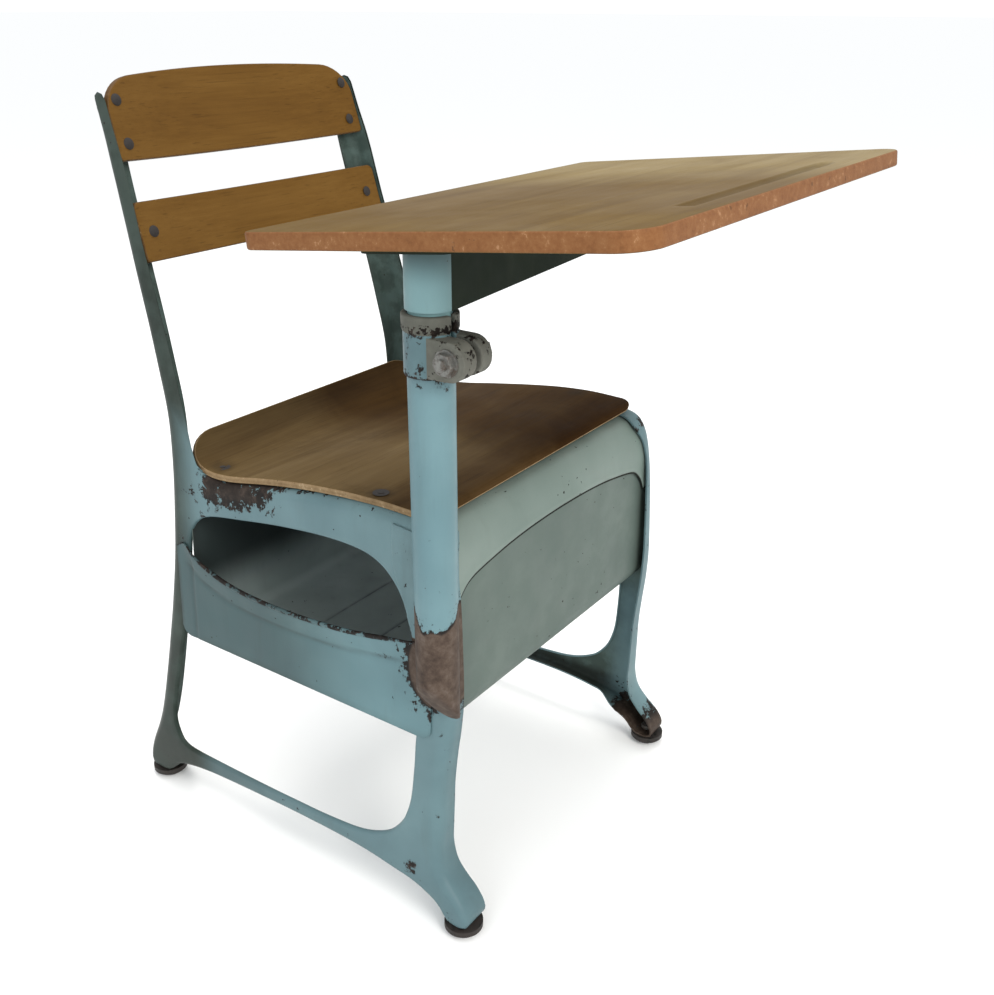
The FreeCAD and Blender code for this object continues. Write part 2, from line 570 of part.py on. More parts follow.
# ---------------------------------------------------------------- back slats
def slat(z0, z1, half_bot, half_top, corner_bot, corner_top, top_bow):
    """Bowed slat: an annular segment about an axis parallel to the leaning slat,
    trimmed by an outline given across the slat (x) and up the slat (s)."""
    # local frame: X, n = back normal (0, cos, -sin), s = up the slat (0, sin, cos)
    R = (SLAT_BOLT_X ** 2 + SLAT_SAG ** 2) / (2 * SLAT_SAG)
    # outline in (x, s), s measured from the SLAT_Z line
    s0, s1 = (z0 - SLAT_Z) / COSL, (z1 - SLAT_Z) / COSL
    out = []
    out.append((-half_bot + corner_bot, s0))
    out.append((0.0, s0))
    out.append((half_bot - corner_bot, s0))
    out.append((half_bot - corner_bot * 0.3, s0 + corner_bot * 0.3))
    out.append((half_bot, s0 + corner_bot))
    n = 3
    for i in range(1, n):
        f = i / n
        out.append((half_bot + (half_top - half_bot) * f, s0 + corner_bot + (s1 - top_bow - corner_top - s0 - corner_bot) * f))
    out.append((half_top, s1 - top_bow - corner_top))
    out.append((half_top - corner_top * 0.3, s1 - top_bow - corner_top * 0.3))
    out.append((half_top - corner_top, s1 - top_bow))
    m = 8
    for i in range(1, m):
        x = (half_top - corner_top) * (1 - 2.0 * i / m)
        out.append((x, s1 - top_bow * (x / (half_top - corner_top)) ** 2))
    out.append((-half_top + corner_top, s1 - top_bow))
    out.append((-half_top + corner_top * 0.3, s1 - top_bow - corner_top * 0.3))
    out.append((-half_top, s1 - top_bow - corner_top))
    for i in range(1, n):
        f = 1 - i / n
        out.append((-(half_bot + (half_top - half_bot) * f), s0 + corner_bot + (s1 - top_bow - corner_top - s0 - corner_bot) * f))
    out.append((-half_bot, s0 + corner_bot))
    out.append((-half_bot + corner_bot * 0.3, s0 + corner_bot * 0.3))
    # built upright: front face bulges to +Y in the middle, then leaned and placed
    w = Part.makePolygon([V(x, -60.0, s) for x, s in out] + [V(out[0][0], -60.0, out[0][1])])
    prism = Part.Face(w).extrude(V(0, 120.0, 0))
    # cylinder axis in front of the slat, at y = SLAT_SAG - R relative to the bolt line
    cy = SLAT_SAG - R
    ring = cyl(R + SLAT_T, s1 - s0 + 40.0, V(0, cy, s0 - 20.0)).cut(cyl(R, s1 - s0 + 40.0, V(0, cy, s0 - 20.0)))
    ring = ring.common(Part.makeBox(400.0, 120.0, s1 - s0 + 40.0, V(-200.0, -60.0, s0 - 20.0)))
    sl = ring.common(prism)
    sl.rotate(V(0, 0, 0), V(1, 0, 0), -math.degrees(math.atan(SLAT_LEAN)))
    sl.translate(V(0, SLAT_Y, SLAT_Z))
    return sl


def slat_with_holes(sl, zs):
    for z in zs:
        for sx in (1, -1):
            d = V(0, COSL, -SINL)
            c = V(sx * SLAT_BOLT_X, slat_y(z), z)
            sl = sl.cut(cyl(3.3, 60.0, c - d * 10.0, d))
    return sl


upper = slat(710.5, 793.5, 172.6, 169.4, 3.0, 32.0, 11.0)
upper = slat_with_holes(upper, SLAT_BOLT_Z[:2])
save("upper_back_slat", upper)
lower = slat(617.0, 673.0, 176.0, 174.6, 3.0, 5.0, 0.5)
lower = slat_with_holes(lower, SLAT_BOLT_Z[2:])
save("lower_back_slat", lower)

sb, sn = [], []
for z in SLAT_BOLT_Z:
    for sx in (1, -1):
        d = V(0, COSL, -SINL)
        c = V(sx * SLAT_BOLT_X, slat_y(z), z)
        gap = rear_y(z) - slat_y(z)
        # domed carriage head on the front face of the slat
        sph = Part.makeSphere(10.3, c + d * 7.6)
        cut = Part.makeBox(60.0, 60.0, 60.0, V(-30.0, 0.35, -30.0))
        cut.rotate(V(0, 0, 0), V(1, 0, 0), -math.degrees(math.atan(SLAT_LEAN)))
        cut.translate(c - d * 1.35)
        head = sph.cut(cut)
        shank = cyl(3.1, gap * COSL + 9.4, c - d * 1.2, d)
        sb.append(head.fuse(shank))
        base = c + d * ((gap + 2.2) * COSL)
        hexp = [V(6.4 * math.cos(math.radians(60 * k)), 0.0, 6.4 * math.sin(math.radians(60 * k))) for k in range(6)]
        w = Part.makePolygon(hexp + [hexp[0]])
        nut = Part.Face(w).extrude(V(0, 5.0, 0)).cut(Part.makeCylinder(3.15, 20.0, V(0, -5.0, 0), V(0, 1, 0)))
        nut.rotate(V(0, 0, 0), V(1, 0, 0), -math.degrees(math.atan(SLAT_LEAN)))
        nut.translate(base)
        sn.append(nut)
save("back_slat_bolts", Part.makeCompound(sb))
save("back_slat_nuts", Part.makeCompound(sn))

# ---------------------------------------------------------------- floor glides
gl, gn = [], []
for y in GLIDES_Y:
    for sx in (1, -1):
        c = V(sx * GLIDE_X, y, 0.0)
        # domed foot: a flat of 9 mm radius rising to the rim
        prof = [V(0, 0, 0), V(9.0, 0, 0), V(15.0, 0, 2.4), V(GLIDE_R, 0, 6.4), V(GLIDE_R, 0, GLIDE_H), V(0, 0, GLIDE_H)]
        w = Part.makePolygon(prof + [prof[0]])
        dome = Part.Face(w).revolve(V(0, 0, 0), V(0, 0, 1), 360.0)
        dome.translate(c)
        stem = cyl(3.6, 12.0, c + V(0, 0, GLIDE_H - 1.0))
        gl.append(dome.fuse(stem))
        hexp = [(c.x + 7.0 * math.cos(math.radians(60 * k)), c.y + 7.0 * math.sin(math.radians(60 * k))) for k in range(6)]
        gn.append(prism_z(hexp, 16.6, 21.6).cut(cyl(3.65, 20.0, V(c.x, c.y, 12.0))))
save("floor_glides", Part.makeCompound(gl))
save("glide_nuts", Part.makeCompound(gn))

# ---------------------------------------------------------------- lower post and its mounting
PC = V(POST_X, POST_Y, 0.0)
# mitred lower end: the outer side stops higher than the side against the leg
MIT = [(-260.0, 337.0), (-241.05, 310.2), (-202.95, 256.2), (-190.0, 237.8)]


def mitre(dz):
    """Everything below the mitre plane moved up by dz."""
    return prism_y([(-260.0, 200.0), (-260.0, 337.0 + dz), (-190.0, 237.8 + dz), (-190.0, 200.0)], -40.0, 60.0)


post = cyl(POST_RO, POST_TOP_Z - 240.0, PC + V(0, 0, 240.0)).cut(cyl(POST_RI, 500.0, PC + V(0, 0, 200.0)))
post = post.cut(mitre(0.0))
save("lower_post", post)
plug = cyl(POST_RI, 140.0, PC + V(0, 0, 230.0)).cut(mitre(0.0)).common(mitre(2.4))
save("post_end_cap", plug)

# doubler plate on the leg with a hollow stem that carries the post
DOUBLER = [(13.0, 430.0), (30.0, 425.0), (46.0, 428.6), (77.0, 430.0), (77.4, 410.0), (77.0, 392.0), (73.0, 376.0), (64.0, 356.0),
           (56.0, 330.0), (52.0, 300.0), (47.0, 276.0), (30.0, 262.0), (15.0, 264.0), (12.5, 300.0), (12.5, 360.0), (16.0, 400.0)]
DOUBLER = [(18.0, 402.0), (27.0, 417.0), (38.0, 425.0), (77.0, 428.6), (77.4, 410.0), (77.0, 394.0), (73.6, 379.0), (65.0, 360.0),
           (57.6, 336.0), (53.0, 322.0), (36.0, 320.0), (15.0, 322.0), (12.5, 340.0), (13.6, 380.0)]


def doubler():
    y0, y1 = -6.0, 14.0
    pts = DOUBLER
    s = []
    poly_o = [V(-web_x(z, -2.0), y, z) for y, z in pts]
    poly_i = [V(-web_x(z, 0.0), y, z) for y, z in pts]
    a = Part.makePolygon(poly_o + [poly_o[0]])
    b = Part.makePolygon(poly_i + [poly_i[0]])
    plate = outward(Part.makeLoft([a, b], True, True))
    # two ribs from the plate to the back of the post
    for yr in (14.6, 19.2):
        rib = prism_y([(-web_x(326.0, 0.0), 326.0), (-web_x(418.0, 0.0), 418.0), (-212.0, 418.0), (-218.0, 326.0)], yr, yr + 2.2)
        plate = plate.fuse(rib)
    plate = plate.cut(cyl(POST_RO, 500.0, PC + V(0, 0, 200.0)))
    # nothing of the plate goes inside the leg
    inside = prism_y([(-100.0, 200.0), (-web_x(200.0, 0.0), 200.0), (-web_x(500.0, 0.0), 500.0), (-100.0, 500.0)], -30.0, 120.0)
    plate = plate.cut(inside)
    return plate


dbl = doubler()
save("post_mounting_plate", dbl)

# lower saddle: a curved block between the mitred end of the post and the leg
saddle = Part.makeBox(26.0, 20.0, 52.0, V(-216.0, -1.0, 262.0))
saddle = saddle.cut(cyl(POST_RO, 500.0, PC + V(0, 0, 200.0)))
saddle = saddle.cut(prism_y([(-100.0, 200.0), (-web_x(200.0, 0.0), 200.0), (-web_x(500.0, 0.0), 500.0), (-100.0, 500.0)], -30.0, 120.0))
saddle = saddle.cut(mitre(0.0))
frame_gap = right.copy()
saddle = saddle.cut(frame_gap)
sol = sorted(saddle.Solids, key=lambda q: -q.Volume)
saddle = sol[0]
save("post_saddle", saddle)

# ---------------------------------------------------------------- split clamp on the post
EAR_R = 15.6
EAR_XL, EAR_XR = -241.6, -205.4      # outer faces of the two ears


def ear(x0, x1, xb):
    e = cyl(EAR_R, x1 - x0, V(x0, CLAMP_BOLT_Y, CLAMP_BOLT_Z), V(1, 0, 0))
    blk = prism_x([(CLAMP_BOLT_Y, CLAMP_BOLT_Z - EAR_R), (POST_Y - 6.0, CLAMP_BOLT_Z - EAR_R - 1.0), (POST_Y - 6.0, CLAMP_BOLT_Z + EAR_R),
                   (CLAMP_BOLT_Y, CLAMP_BOLT_Z + EAR_R)], x0, x1, smooth=False)
    boss = cyl(12.0, 2.0, V(xb - 1.0, CLAMP_BOLT_Y, CLAMP_BOLT_Z), V(1, 0, 0))
    return e.fuse(blk).fuse(boss)


clamp = cyl(21.4, CLAMP_Z1 - CLAMP_Z0, PC + V(0, 0, CLAMP_Z0))
clamp = clamp.fuse(Part.makeCone(21.4, 22.6, 2.0, PC + V(0, 0, CLAMP_Z1)))
clamp = clamp.fuse(cyl(22.6, CLAMP_Z2 - CLAMP_Z1 - 2.0, PC + V(0, 0, CLAMP_Z1 + 2.0)))
clamp = clamp.fuse(ear(EAR_XL, -225.4, EAR_XL)).fuse(ear(-218.6, EAR_XR, EAR_XR))
clamp = clamp.cut(cyl(POST_RO, POST_TOP_Z - 560.0, PC + V(0, 0, 560.0)))
clamp = clamp.cut(cyl(POST_RI, 120.0, PC + V(0, 0, 560.0)))
clamp = clamp.cut(Part.makeBox(5.0, 60.0, 80.0, V(POST_X - 2.5, -60.0 + POST_Y - 10.0, 570.0)))
clamp = clamp.cut(cyl(5.0, 120.0, V(-280.0, CLAMP_BOLT_Y, CLAMP_BOLT_Z), V(1, 0, 0)))
save("post_clamp", clean(clamp))


def hexagon_x(af, x0, x1, rot=0.0):
    R = af / math.sqrt(3.0)
    pts = [(CLAMP_BOLT_Y + R * math.cos(math.radians(60 * k + rot)), CLAMP_BOLT_Z + R * math.sin(math.radians(60 * k + rot))) for k in range(6)]
    h = prism_x(pts, x0, x1, smooth=False)
    return h


XN, XH = EAR_XL - 1.05 - 1.7, EAR_XR + 1.05 + 1.7      # bearing faces of nut and head
head = hexagon_x(15.0, XH, XH + 6.8, 12.0).common(
    Part.makeSphere(11.0, V(XH, CLAMP_BOLT_Y, CLAMP_BOLT_Z)).fuse(cyl(9.3, 5.4, V(XH, CLAMP_BOLT_Y, CLAMP_BOLT_Z), V(1, 0, 0))))
bolt = cyl(4.76, XH + 4.0 - (XN - 7.6), V(XN - 7.6, CLAMP_BOLT_Y, CLAMP_BOLT_Z), V(1, 0, 0)).fuse(head)
save("clamp_bolt", bolt)
nut = hexagon_x(16.0, XN - 4.9, XN, 7.0).common(
    Part.makeCone(8.0, 10.6, 2.6, V(XN - 4.9, CLAMP_BOLT_Y, CLAMP_BOLT_Z), V(1, 0, 0)).fuse(
        cyl(10.6, 4.0, V(XN - 2.9, CLAMP_BOLT_Y, CLAMP_BOLT_Z), V(1, 0, 0))))
nut = nut.cut(cyl(4.8, 40.0, V(-270.0, CLAMP_BOLT_Y, CLAMP_BOLT_Z), V(1, 0, 0)))
save("clamp_nut", nut)
wash = []
for x0 in (XN, XH - 1.7):
    w1 = cyl(10.8, 1.7, V(x0, CLAMP_BOLT_Y, CLAMP_BOLT_Z), V(1, 0, 0)).cut(cyl(5.0, 10.0, V(x0 - 3.0, CLAMP_BOLT_Y, CLAMP_BOLT_Z), V(1, 0, 0)))
    wash.append(w1)
save("clamp_washers", Part.makeCompound(wash))

# ---------------------------------------------------------------- sliding upper post
up = cyl(UPPER_RO, UPPER_Z1 - UPPER_Z0, PC + V(0, 0, UPPER_Z0)).cut(cyl(UPPER_RI, 400.0, PC + V(0, 0, UPPER_Z0 - 20.0)))
save("upper_post", up)


# ---------------------------------------------------------------- writing top and its arm
def desk_z(y):
    """Height of the top face of the writing board."""
    return DESK_ZR + DESK_SLOPE * (DESK_Y1 - y)


DESK_A = math.degrees(math.atan(DESK_SLOPE))
CA = math.cos(math.radians(DESK_A))


def under(solid_height, y0, y1, x0, x1, gap=0.0):
    """Prism filled below the underside of the board."""
    t = DESK_T / CA + gap
    return prism_x([(y0, desk_z(y0) - t), (y1, desk_z(y1) - t), (y1, solid_height), (y0, solid_height)], x0, x1, smooth=False)


SLEEVE_R, SLEEVE_Z = 19.6, 640.5
PLATE_T = 2.5
sleeve = cyl(SLEEVE_R, 80.0, PC + V(0, 0, SLEEVE_Z)).common(under(630.0, -60.0, 60.0, -260.0, -180.0, PLATE_T / CA))
sleeve = sleeve.cut(cyl(UPPER_RO + 0.045, 90.0, PC + V(0, 0, 630.0)))
save("arm_sleeve", sleeve)

ARM_X1 = 172.0
Y_N, Y_F = POST_Y - UPPER_RO - 2.2, POST_Y + UPPER_RO + 2.2      # outer faces of the channel


def arm_bottom(x):
    return 640.0 + 0.052 * (x - POST_X)


side_poly = [(POST_X, arm_bottom(POST_X)), (20.0, arm_bottom(20.0)), (ARM_X1, 676.0), (ARM_X1, 700.0), (POST_X, 700.0)]
arm = None
for (ya, yb) in ((Y_N, Y_N + 2.0), (Y_F - 2.0, Y_F)):
    pl = prism_y(side_poly, ya, yb)
    arm = pl if arm is None else arm.fuse(pl)
x_s = POST_X + UPPER_RO + 1.0
bot = prism_y([(x_s, arm_bottom(x_s)), (20.0, arm_bottom(20.0)), (ARM_X1, 676.0), (ARM_X1, 678.0), (20.0, arm_bottom(20.0) + 2.0), (x_s, arm_bottom(x_s) + 2.0)], Y_N, Y_F)
arm = arm.fuse(bot)
arm = arm.common(under(600.0, -60.0, 60.0, -260.0, 200.0, PLATE_T / CA))
arm = arm.cut(cyl(SLEEVE_R + 0.03, 90.0, PC + V(0, 0, 630.0)))
save("desk_arm", arm)


def tilt_board(shape):
    """Turns a shape modelled level about the rear top edge into the sloping place."""
    shape.rotate(V(0, DESK_Y1, DESK_ZR), V(1, 0, 0), -DESK_A)
    return shape


LEN = (DESK_Y1 - DESK_Y0) / CA
board = rounded_rect_face(-DESK_HALF, DESK_Y1 - LEN, DESK_HALF, DESK_Y1, (DESK_CORNER, DESK_CORNER, 9.0, 9.0), DESK_ZR - DESK_T).extrude(V(0, 0, DESK_T))
try:
    rim = [e for e in board.Edges if abs(e.BoundBox.ZMax - DESK_ZR) < 1e-3 and abs(e.BoundBox.ZMin - DESK_ZR) < 1e-3]
    rim += [e for e in board.Edges if abs(e.BoundBox.ZMax - DESK_ZR + DESK_T) < 1e-3 and abs(e.BoundBox.ZMin - DESK_ZR + DESK_T) < 1e-3]
    fb = board.makeFillet(1.6, rim)
    if fb.isValid():
        board = fb
except Exception as e:
    print("board edge left sharp", e)
# pencil groove along the far edge
GY = DESK_Y1 - (DESK_Y1 + 163.0) / CA
gr = 8.0
groove = cyl(gr, 270.0, V(-137.0, GY, DESK_ZR + 4.6), V(1, 0, 0))
groove = groove.fuse(Part.makeSphere(gr, V(-137.0, GY, DESK_ZR + 4.6))).fuse(Part.makeSphere(gr, V(133.0, GY, DESK_ZR + 4.6)))
board = board.cut(groove)
screw_xy = [(-236.0, -28.0), (-150.0, -28.0), (-60.0, -28.0), (40.0, -28.0), (150.0, -28.0),
            (-236.0, 36.0), (-150.0, 36.0), (-60.0, 36.0), (40.0, 36.0), (150.0, 36.0)]
pilot = []
for (x, y) in screw_xy:
    yl = DESK_Y1 - (DESK_Y1 - y) / CA
    pilot.append(cyl(2.1, 11.0, V(x, yl, DESK_ZR - DESK_T - 0.5)))
for p in pilot:
    board = board.cut(p)
board = tilt_board(board)
save("desk_top", clean(board))

plate = rounded_rect_face(-256.0, DESK_Y1 - (DESK_Y1 + 42.0) / CA, 182.0, DESK_Y1 - (DESK_Y1 - 50.0) / CA, 14.0, DESK_ZR - DESK_T - PLATE_T).extrude(V(0, 0, PLATE_T))
for (x, y) in screw_xy:
    yl = DESK_Y1 - (DESK_Y1 - y) / CA
    plate = plate.cut(cyl(2.3, 20.0, V(x, yl, DESK_ZR - 30.0)))
plate = tilt_board(plate)
save("desk_mounting_plate", plate)

scr = []
for (x, y) in screw_xy:
    yl = DESK_Y1 - (DESK_Y1 - y) / CA
    zb = DESK_ZR - DESK_T - PLATE_T
    hd = Part.makeSphere(5.6, V(x, yl, zb + 3.1)).common(cyl(6.0, 4.0, V(x, yl, zb - 4.0)))
    scr.append(hd.fuse(cyl(2.05, 11.5, V(x, yl, zb - 0.2))))
sc = Part.makeCompound(scr)
sc = tilt_board(sc)
save("desk_screws", sc)

bb = FreeCAD.BoundBox()
for n, s in NODES:
    bb.add(s.BoundBox)
print("WHOLE x %.2f..%.2f y %.2f..%.2f z %.2f..%.2f" % (bb.XMin, bb.XMax, bb.YMin, bb.YMax, bb.ZMin, bb.ZMax))
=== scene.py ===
import bpy, bmesh, math
import numpy as np
from mathutils import Vector, Matrix, noise, geometry


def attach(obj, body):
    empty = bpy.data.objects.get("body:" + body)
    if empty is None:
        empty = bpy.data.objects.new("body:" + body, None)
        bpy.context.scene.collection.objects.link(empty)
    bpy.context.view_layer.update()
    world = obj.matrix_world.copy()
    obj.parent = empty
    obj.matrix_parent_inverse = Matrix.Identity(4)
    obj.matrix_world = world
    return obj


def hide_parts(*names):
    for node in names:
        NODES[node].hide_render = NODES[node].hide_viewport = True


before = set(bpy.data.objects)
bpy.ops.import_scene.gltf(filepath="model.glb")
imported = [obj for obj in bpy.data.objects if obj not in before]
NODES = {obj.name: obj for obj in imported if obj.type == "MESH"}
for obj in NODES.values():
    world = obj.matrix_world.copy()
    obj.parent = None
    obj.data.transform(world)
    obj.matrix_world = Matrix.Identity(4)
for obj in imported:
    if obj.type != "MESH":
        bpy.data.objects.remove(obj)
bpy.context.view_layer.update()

# Layout coordinates are millimetres, y from the front glides; the row frame is that
# moved by -YC and turned into metres.
YC = 131.14


def M(x, y, z):
    return Vector((x / 1000.0, (y - YC) / 1000.0, z / 1000.0))


def clamp01(v):
    return 0.0 if v < 0.0 else 1.0 if v > 1.0 else v


def sstep(a, b, v):
    t = clamp01((v - a) / (b - a))
    return t * t * (3 - 2 * t)


def lerp(a, b, t):
    return a + (b - a) * t


# ------------------------------------------------------------------ layout sizes (mm)
WEB_X0, SPLAY, SHEET = 211.5, 0.0504, 2.0
FLANGE_IN_X, FLANGE_LEAN = 177.8, 0.0372
POST_X, POST_Y, POST_R = -222.0, 4.0, 19.05
SLAT_Y, SLAT_Z, SLAT_LEAN, SLAT_T, SLAT_SAG, SLAT_BX = 399.0, 645.0, 0.27, 7.5, 13.0, 158.0
DESK_HALF, DESK_Y0, DESK_Y1, DESK_ZR, DESK_SLOPE, DESK_T = 262.5, -195.0, 162.0, 685.5, 0.1115, 14.4


def web_x(z, w=0.0):
    return WEB_X0 - SPLAY * z - w


OUTLINE = [
    (438.5, 772.6, 0.0), (432.5, 771.2, 0.0), (428.6, 766.2, 0.0), (426.0, 758.5, 0.0), (419.1, 736.6, 0.0),
    (410.6, 712.6, 0.0), (405.1, 693.6, 0.0), (399.1, 668.7, 0.0), (393.6, 645.7, 0.0), (387.6, 623.7, 0.0),
    (381.9, 603.8, 0.0), (372.8, 572.0, 0.0), (362.6, 532.4, 0.0), (352.4, 489.8, 0.0), (345.5, 460.0, 0.0),
    (340.5, 437.0, 0.0), (335.0, 422.0, 0.0), (327.0, 413.6, 0.2), (315.0, 410.6, 0.9), (300.0, 411.2, 1.0),
    (278.0, 414.0, 1.0), (235.0, 421.6, 1.0), (195.0, 427.9, 1.0), (168.0, 431.6, 1.0), (143.0, 434.3, 1.0),
    (120.0, 436.1, 1.0), (95.0, 437.3, 1.0), (63.0, 436.8, 1.0), (47.0, 435.7, 1.0), (36.0, 433.2, 1.0),
    (27.5, 427.4, 1.0), (21.5, 417.5, 1.0), (17.4, 404.0, 1.0), (14.6, 387.0, 1.0), (12.6, 366.0, 1.0),
    (11.2, 333.0, 1.0), (10.4, 300.0, 1.0), (10.0, 272.0, 1.0), (10.8, 248.0, 1.0), (12.9, 224.0, 1.0),
    (16.0, 200.0, 1.0), (19.8, 165.0, 1.0), (21.0, 137.0, 1.0), (22.0, 112.0, 1.0), (22.6, 88.0, 1.0),
    (18.0, 67.5, 1.0), (7.4, 53.4, 1.0), (-3.6, 42.8, 1.0), (-11.0, 33.2, 1.0), (-14.4, 24.0, 1.0),
    (-12.4, 16.6, 1.0), (-7.0, 13.8, 1.0), (2.0, 13.4, 1.0), (10.6, 15.4, 1.0), (16.0, 20.6, 1.0),
    (21.0, 26.8, 1.0), (28.0, 32.0, 1.0), (38.0, 36.4, 1.0), (50.0, 40.2, 1.0), (64.0, 43.4, 1.0),
    (80.0, 45.5, 1.0), (103.0, 48.5, 1.0), (131.0, 50.5, 1.0), (165.0, 51.0, 1.0), (200.0, 50.6, 1.0),
    (236.0, 49.6, 1.0), (272.0, 48.0, 1.0), (311.0, 46.0, 1.0), (350.0, 43.2, 1.0), (376.0, 39.6, 1.0),
    (393.0, 35.8, 1.0), (404.0, 32.0, 1.0), (412.5, 26.0, 1.0), (419.0, 19.6, 1.0), (425.5, 15.0, 1.0),
    (432.5, 13.3, 1.0), (440.0, 13.2, 1.0), (448.0, 13.6, 1.0), (453.4, 16.6, 1.0), (455.4, 23.0, 1.0),
    (454.4, 34.0, 1.0), (449.5, 52.0, 1.0), (438.6, 80.0, 1.0), (428.7, 112.0, 1.0), (418.1, 155.0, 1.0),
    (408.2, 200.0, 1.0), (398.0, 250.0, 1.0), (388.3, 308.0, 1.0), (383.9, 352.0, 1.0), (380.1, 412.0, 1.0),
    (381.3, 465.0, 1.0), (390.4, 514.0, 1.0), (400.0, 558.0, 1.0), (410.8, 602.0, 1.0), (422.0, 650.0, 1.0),
    (433.0, 697.0, 1.0), (441.0, 737.0, 1.0), (444.5, 752.0, 1.0), (445.4, 762.0, 0.7), (443.6, 769.6, 0.2),
]

OPENING = [
    (98.3, 82.2), (114.5, 75.8), (130.9, 72.0), (147.5, 70.0), (181.5, 67.3), (216.5, 66.0), (252.7, 64.8),
    (290.0, 64.2), (348.0, 63.8), (368.3, 64.1), (384.0, 65.6), (393.7, 70.2), (399.6, 80.2), (403.1, 91.0),
    (403.2, 103.0), (401.4, 115.8), (392.5, 154.6), (381.8, 193.0), (371.0, 235.0), (363.0, 280.0),
    (357.5, 315.0), (355.0, 336.0), (348.0, 351.0), (337.0, 361.5), (322.0, 368.0), (275.0, 376.5),
    (219.0, 385.0), (165.0, 390.0), (130.0, 390.4), (107.0, 387.6), (89.0, 379.6), (75.0, 366.2),
    (65.0, 348.6), (58.0, 325.0), (52.5, 285.0), (49.5, 240.0), (51.5, 205.0), (52.7, 182.4),
    (55.5, 150.0), (57.3, 138.7), (60.6, 126.5), (66.8, 111.4), (82.4, 92.0),
]


def catmull(points, step=6.0, closed=True):
    """Dense points on a centripetal Catmull-Rom curve; extra values go along linearly."""
    out = []
    n = len(points)
    for i in range(n if closed else n - 1):
        if closed:
            p0, p1, p2, p3 = (points[(i + k) % n] for k in (-1, 0, 1, 2))
        else:
            p1, p2 = points[i], points[i + 1]
            p0 = points[i - 1] if i > 0 else tuple(2 * a - b for a, b in zip(p1, p2))
            p3 = points[i + 2] if i + 2 < n else tuple(2 * a - b for a, b in zip(p2, p1))
        d = math.hypot(p2[0] - p1[0], p2[1] - p1[1])
        m = max(1, int(round(d / step)))

        def tj(ti, a, b):
            return ti + max(1e-6, math.hypot(b[0] - a[0], b[1] - a[1])) ** 0.5
        t0 = 0.0
        t1 = tj(t0, p0, p1)
        t2 = tj(t1, p1, p2)
        t3 = tj(t2, p2, p3)
        for k in range(m):
            t = t1 + (t2 - t1) * k / m
            q = []
            for c in (0, 1):
                a1 = (t1 - t) / (t1 - t0) * p0[c] + (t - t0) / (t1 - t0) * p1[c]
                a2 = (t2 - t) / (t2 - t1) * p1[c] + (t - t1) / (t2 - t1) * p2[c]
                a3 = (t3 - t) / (t3 - t2) * p2[c] + (t - t2) / (t3 - t2) * p3[c]
                b1 = (t2 - t) / (t2 - t0) * a1 + (t - t0) / (t2 - t0) * a2
                b2 = (t3 - t) / (t3 - t1) * a2 + (t - t1) / (t3 - t1) * a3
                q.append((t2 - t) / (t2 - t1) * b1 + (t - t1) / (t2 - t1) * b2)
            g = p1[2] + (p2[2] - p1[2]) * k / m if len(p1) > 2 else 1.0
            out.append((q[0], q[1], g))
    if not closed:
        out.append((points[-1][0], points[-1][1], points[-1][2] if len(points[-1]) > 2 else 1.0))
    return out


def inward_normals(pts):
    n = len(pts)
    area = sum(pts[i][0] * pts[(i + 1) % n][1] - pts[(i + 1) % n][0] * pts[i][1] for i in range(n))
    sgn = 1.0 if area > 0 else -1.0
    res = []
    for i in range(n):
        a, b = pts[i - 1], pts[(i + 1) % n]
        ty, tz = b[0] - a[0], b[1] - a[1]
        L = math.hypot(ty, tz)
        res.append((-tz / L * sgn, ty / L * sgn))
    return res


# ------------------------------------------------------------------ mesh building
class Build:
    """Gathers vertices in layout millimetres with the values the materials read:
    chip (how much paint is gone), the darkening value (grime, and painted shade in creases and where parts meet), tk
    (depth into a board's edge)."""

    def __init__(self):
        self.v, self.f, self.m, self.a = [], [], [], []

    def vert(self, x, y, z, chip=0.0, dirt_and_shade=0.0, tk=0.0):
        self.v.append((x, y, z))
        self.a.append((chip, dirt_and_shade, tk))
        return len(self.v) - 1

    def face(self, idx, out=None, mat=0):
        """A face, turned so that its normal goes along out."""
        idx = list(idx)
        if out is not None:
            p = [Vector(self.v[i]) for i in idx]
            n = geometry.normal(p) if len(p) > 2 else Vector((0, 0, 1))
            if n.dot(Vector(out)) < 0:
                idx.reverse()
        self.f.append(idx)
        self.m.append(mat)

    def mirror(self):
        b = Build()
        b.v = [(-x, y, z) for x, y, z in self.v]
        b.a = list(self.a)
        b.f = [list(reversed(f)) for f in self.f]
        b.m = list(self.m)
        return b

    def make(self, name, mats, merge=0.02, thick=None, angle=38.0, rim=None, inner=None):
        me = bpy.data.meshes.new(name)
        me.from_pydata([M(*p) for p in self.v], [], self.f)
        me.polygons.foreach_set("material_index", self.m)
        for k, nm in enumerate(("chip", "dirt_and_shade", "tk")):
            at = me.attributes.new(nm, "FLOAT", "POINT")
            at.data.foreach_set("value", [float(q[k]) for q in self.a])
        for mt in mats:
            me.materials.append(mt)
        ob = bpy.data.objects.new(name, me)
        bpy.context.scene.collection.objects.link(ob)
        if merge:
            bm = bmesh.new()
            bm.from_mesh(me)
            bmesh.ops.remove_doubles(bm, verts=bm.verts, dist=merge / 1000.0)
            bmesh.ops.dissolve_degenerate(bm, dist=1e-6, edges=bm.edges)
            bm.to_mesh(me)
            bm.free()
        if thick:
            md = ob.modifiers.new("t", "SOLIDIFY")
            md.thickness = thick / 1000.0
            md.offset = -1.0
            md.use_even_offset = False
            if rim is not None:
                md.material_offset_rim = rim
            if inner is not None:
                md.material_offset = inner
            apply_mods(ob)
        smooth_by_angle(ob, angle)
        return ob


def apply_mods(ob):
    dg = bpy.context.evaluated_depsgraph_get()
    dg.update()
    new = bpy.data.meshes.new_from_object(ob.evaluated_get(dg), preserve_all_data_layers=True, depsgraph=dg)
    old = ob.data
    ob.modifiers.clear()
    ob.data = new
    bpy.data.meshes.remove(old)


